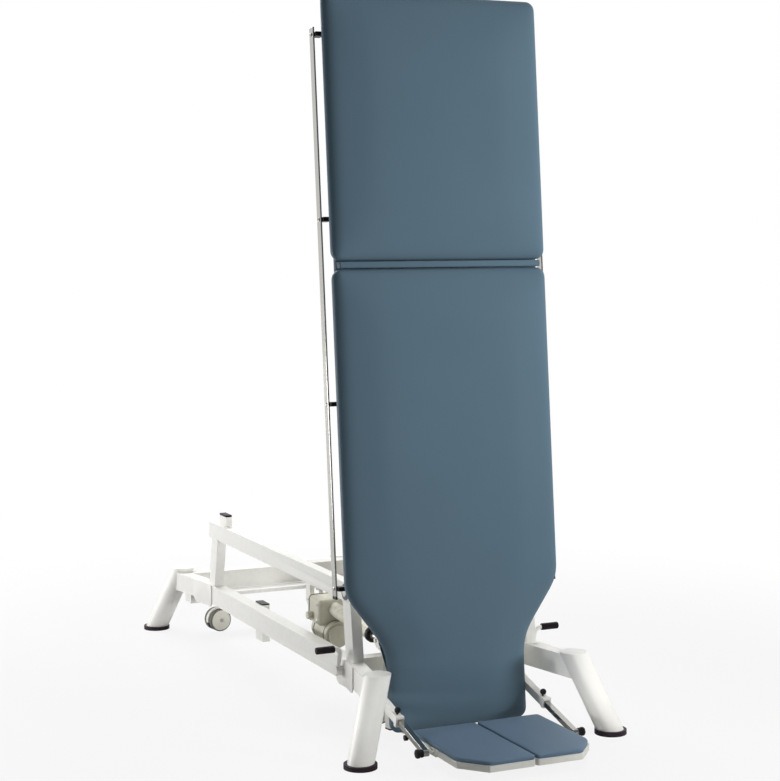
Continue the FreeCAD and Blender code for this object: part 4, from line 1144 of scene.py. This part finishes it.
def floor_material():
    """Pale paper that glows to white away from the table, and in the shine of what stands on it."""
    material = bpy.data.materials.new("pale_floor")
    material.use_nodes = True
    tree = material.node_tree
    tree.nodes.clear()
    out = tree.nodes.new("ShaderNodeOutputMaterial")
    paper = tree.nodes.new("ShaderNodeBsdfDiffuse")
    paper.inputs["Color"].default_value = (*FLOOR_TONE, 1)
    glow = tree.nodes.new("ShaderNodeEmission")
    path = tree.nodes.new("ShaderNodeLightPath")
    where = tree.nodes.new("ShaderNodeTexCoord").outputs["Object"]
    behind = ranged(tree, along_axis(tree, where, "Y"), FLOOR_SHEEN_SPANS, smooth=True)
    sheen = math_node(tree, "MULTIPLY", path.outputs["Is Glossy Ray"], behind)
    away = tree.nodes.new("ShaderNodeVectorMath")
    away.operation = "LENGTH"
    tree.links.new(where, away.inputs[0])
    fade = ranged(tree, away.outputs["Value"], FLOOR_FADE_SPANS, smooth=True)
    seen = math_node(tree, "MULTIPLY", seen_directly(tree, path), fade)
    mix_shaders(tree, math_node(tree, "MAXIMUM", seen, sheen), paper, glow, out)
    return material


def make_floor():
    """A wide pale floor that keeps the table's shadow and is close to white in the view."""
    corners = [(x * FLOOR_HALF, y * FLOOR_HALF, 0) for x, y in ((-1, -1), (1, -1), (1, 1), (-1, 1))]
    mesh = bpy.data.meshes.new("floor")
    mesh.from_pydata(corners, [], [(0, 1, 2, 3)])
    mesh.materials.append(floor_material())
    floor = bpy.data.objects.new("floor", mesh)
    bpy.context.scene.collection.objects.link(floor)


def make_world():
    """Weak even light, a white backdrop behind the table and a dim room before it."""
    world = bpy.data.worlds.new("studio")
    bpy.context.scene.world = world
    world.use_nodes = True
    tree = world.node_tree
    tree.nodes.clear()
    out = tree.nodes.new("ShaderNodeOutputWorld")
    path = tree.nodes.new("ShaderNodeLightPath")
    where = tree.nodes.new("ShaderNodeTexCoord").outputs["Generated"]
    backdrop = ranged(tree, along_axis(tree, where, "Y"), ROOM_SHEEN_SPANS, smooth=True)
    glossy = math_node(tree, "MULTIPLY", path.outputs["Is Glossy Ray"], backdrop)
    fill = tree.nodes.new("ShaderNodeBackground")
    fill.inputs["Color"].default_value = (*WORLD_TINT, 1)
    fill.inputs["Strength"].default_value = WORLD_FILL
    white = tree.nodes.new("ShaderNodeBackground")
    white.inputs["Color"].default_value = (1, 1, 1, 1)
    mix_shaders(tree, math_node(tree, "MAXIMUM", seen_directly(tree, path), glossy), fill, white, out)


def soft_box(name, at, toward, width, height, power, spread=180, glints=True):
    """A lit panel aimed at a point: power in watts, spread in degrees.

    glints says whether it shows in shiny pieces."""
    data = bpy.data.lights.new(name, "AREA")
    data.shape = "RECTANGLE"
    data.size, data.size_y = width, height
    data.energy = power
    data.spread = math.radians(spread)
    lamp = bpy.data.objects.new(name, data)
    bpy.context.scene.collection.objects.link(lamp)
    lamp.visible_glossy = glints
    aim = Vector(toward) - Vector(at)
    lamp.matrix_world = Matrix.Translation(at) @ aim.to_track_quat("-Z", "Y").to_matrix().to_4x4()


def make_lights():
    """The key light, a panel overhead, one low on the left, and small ones for foot end and front legs."""
    soft_box("key_right", (3.4, -3.8, 1.75), (0.0, -0.2, 1.46), 1.5, 1.6, power=33, spread=64, glints=False)
    soft_box("overhead", (0.1, 2.5, 3.4), (0, 0.2, 0.4), 3.0, 2.4, power=150)
    soft_box("foot_end", (0.2, -1.5, 3.4), (0.1, -1.2, 0), 0.9, 0.7, power=2.3, spread=40)
    soft_box("low_left", (-2.6, 1.5, 0.6), (0, 0.2, 0.2), 2.2, 0.7, power=44)
    soft_box("leg_right", (-1.0, -3.5, 0.5), (0.37, -0.70, 0.12), 0.15, 0.15, power=0.065, spread=7)
    soft_box("leg_left", (-3.3, -1.3, 0.4), (-0.34, -0.77, 0.14), 0.15, 0.15, power=0.07, spread=7)


make_camera()
dress_nodes()
make_soft_pieces()
make_rounded_pieces()
make_fittings()
make_floor()
make_world()
make_lights()

bpy.context.scene.view_settings.view_transform = "Standard"
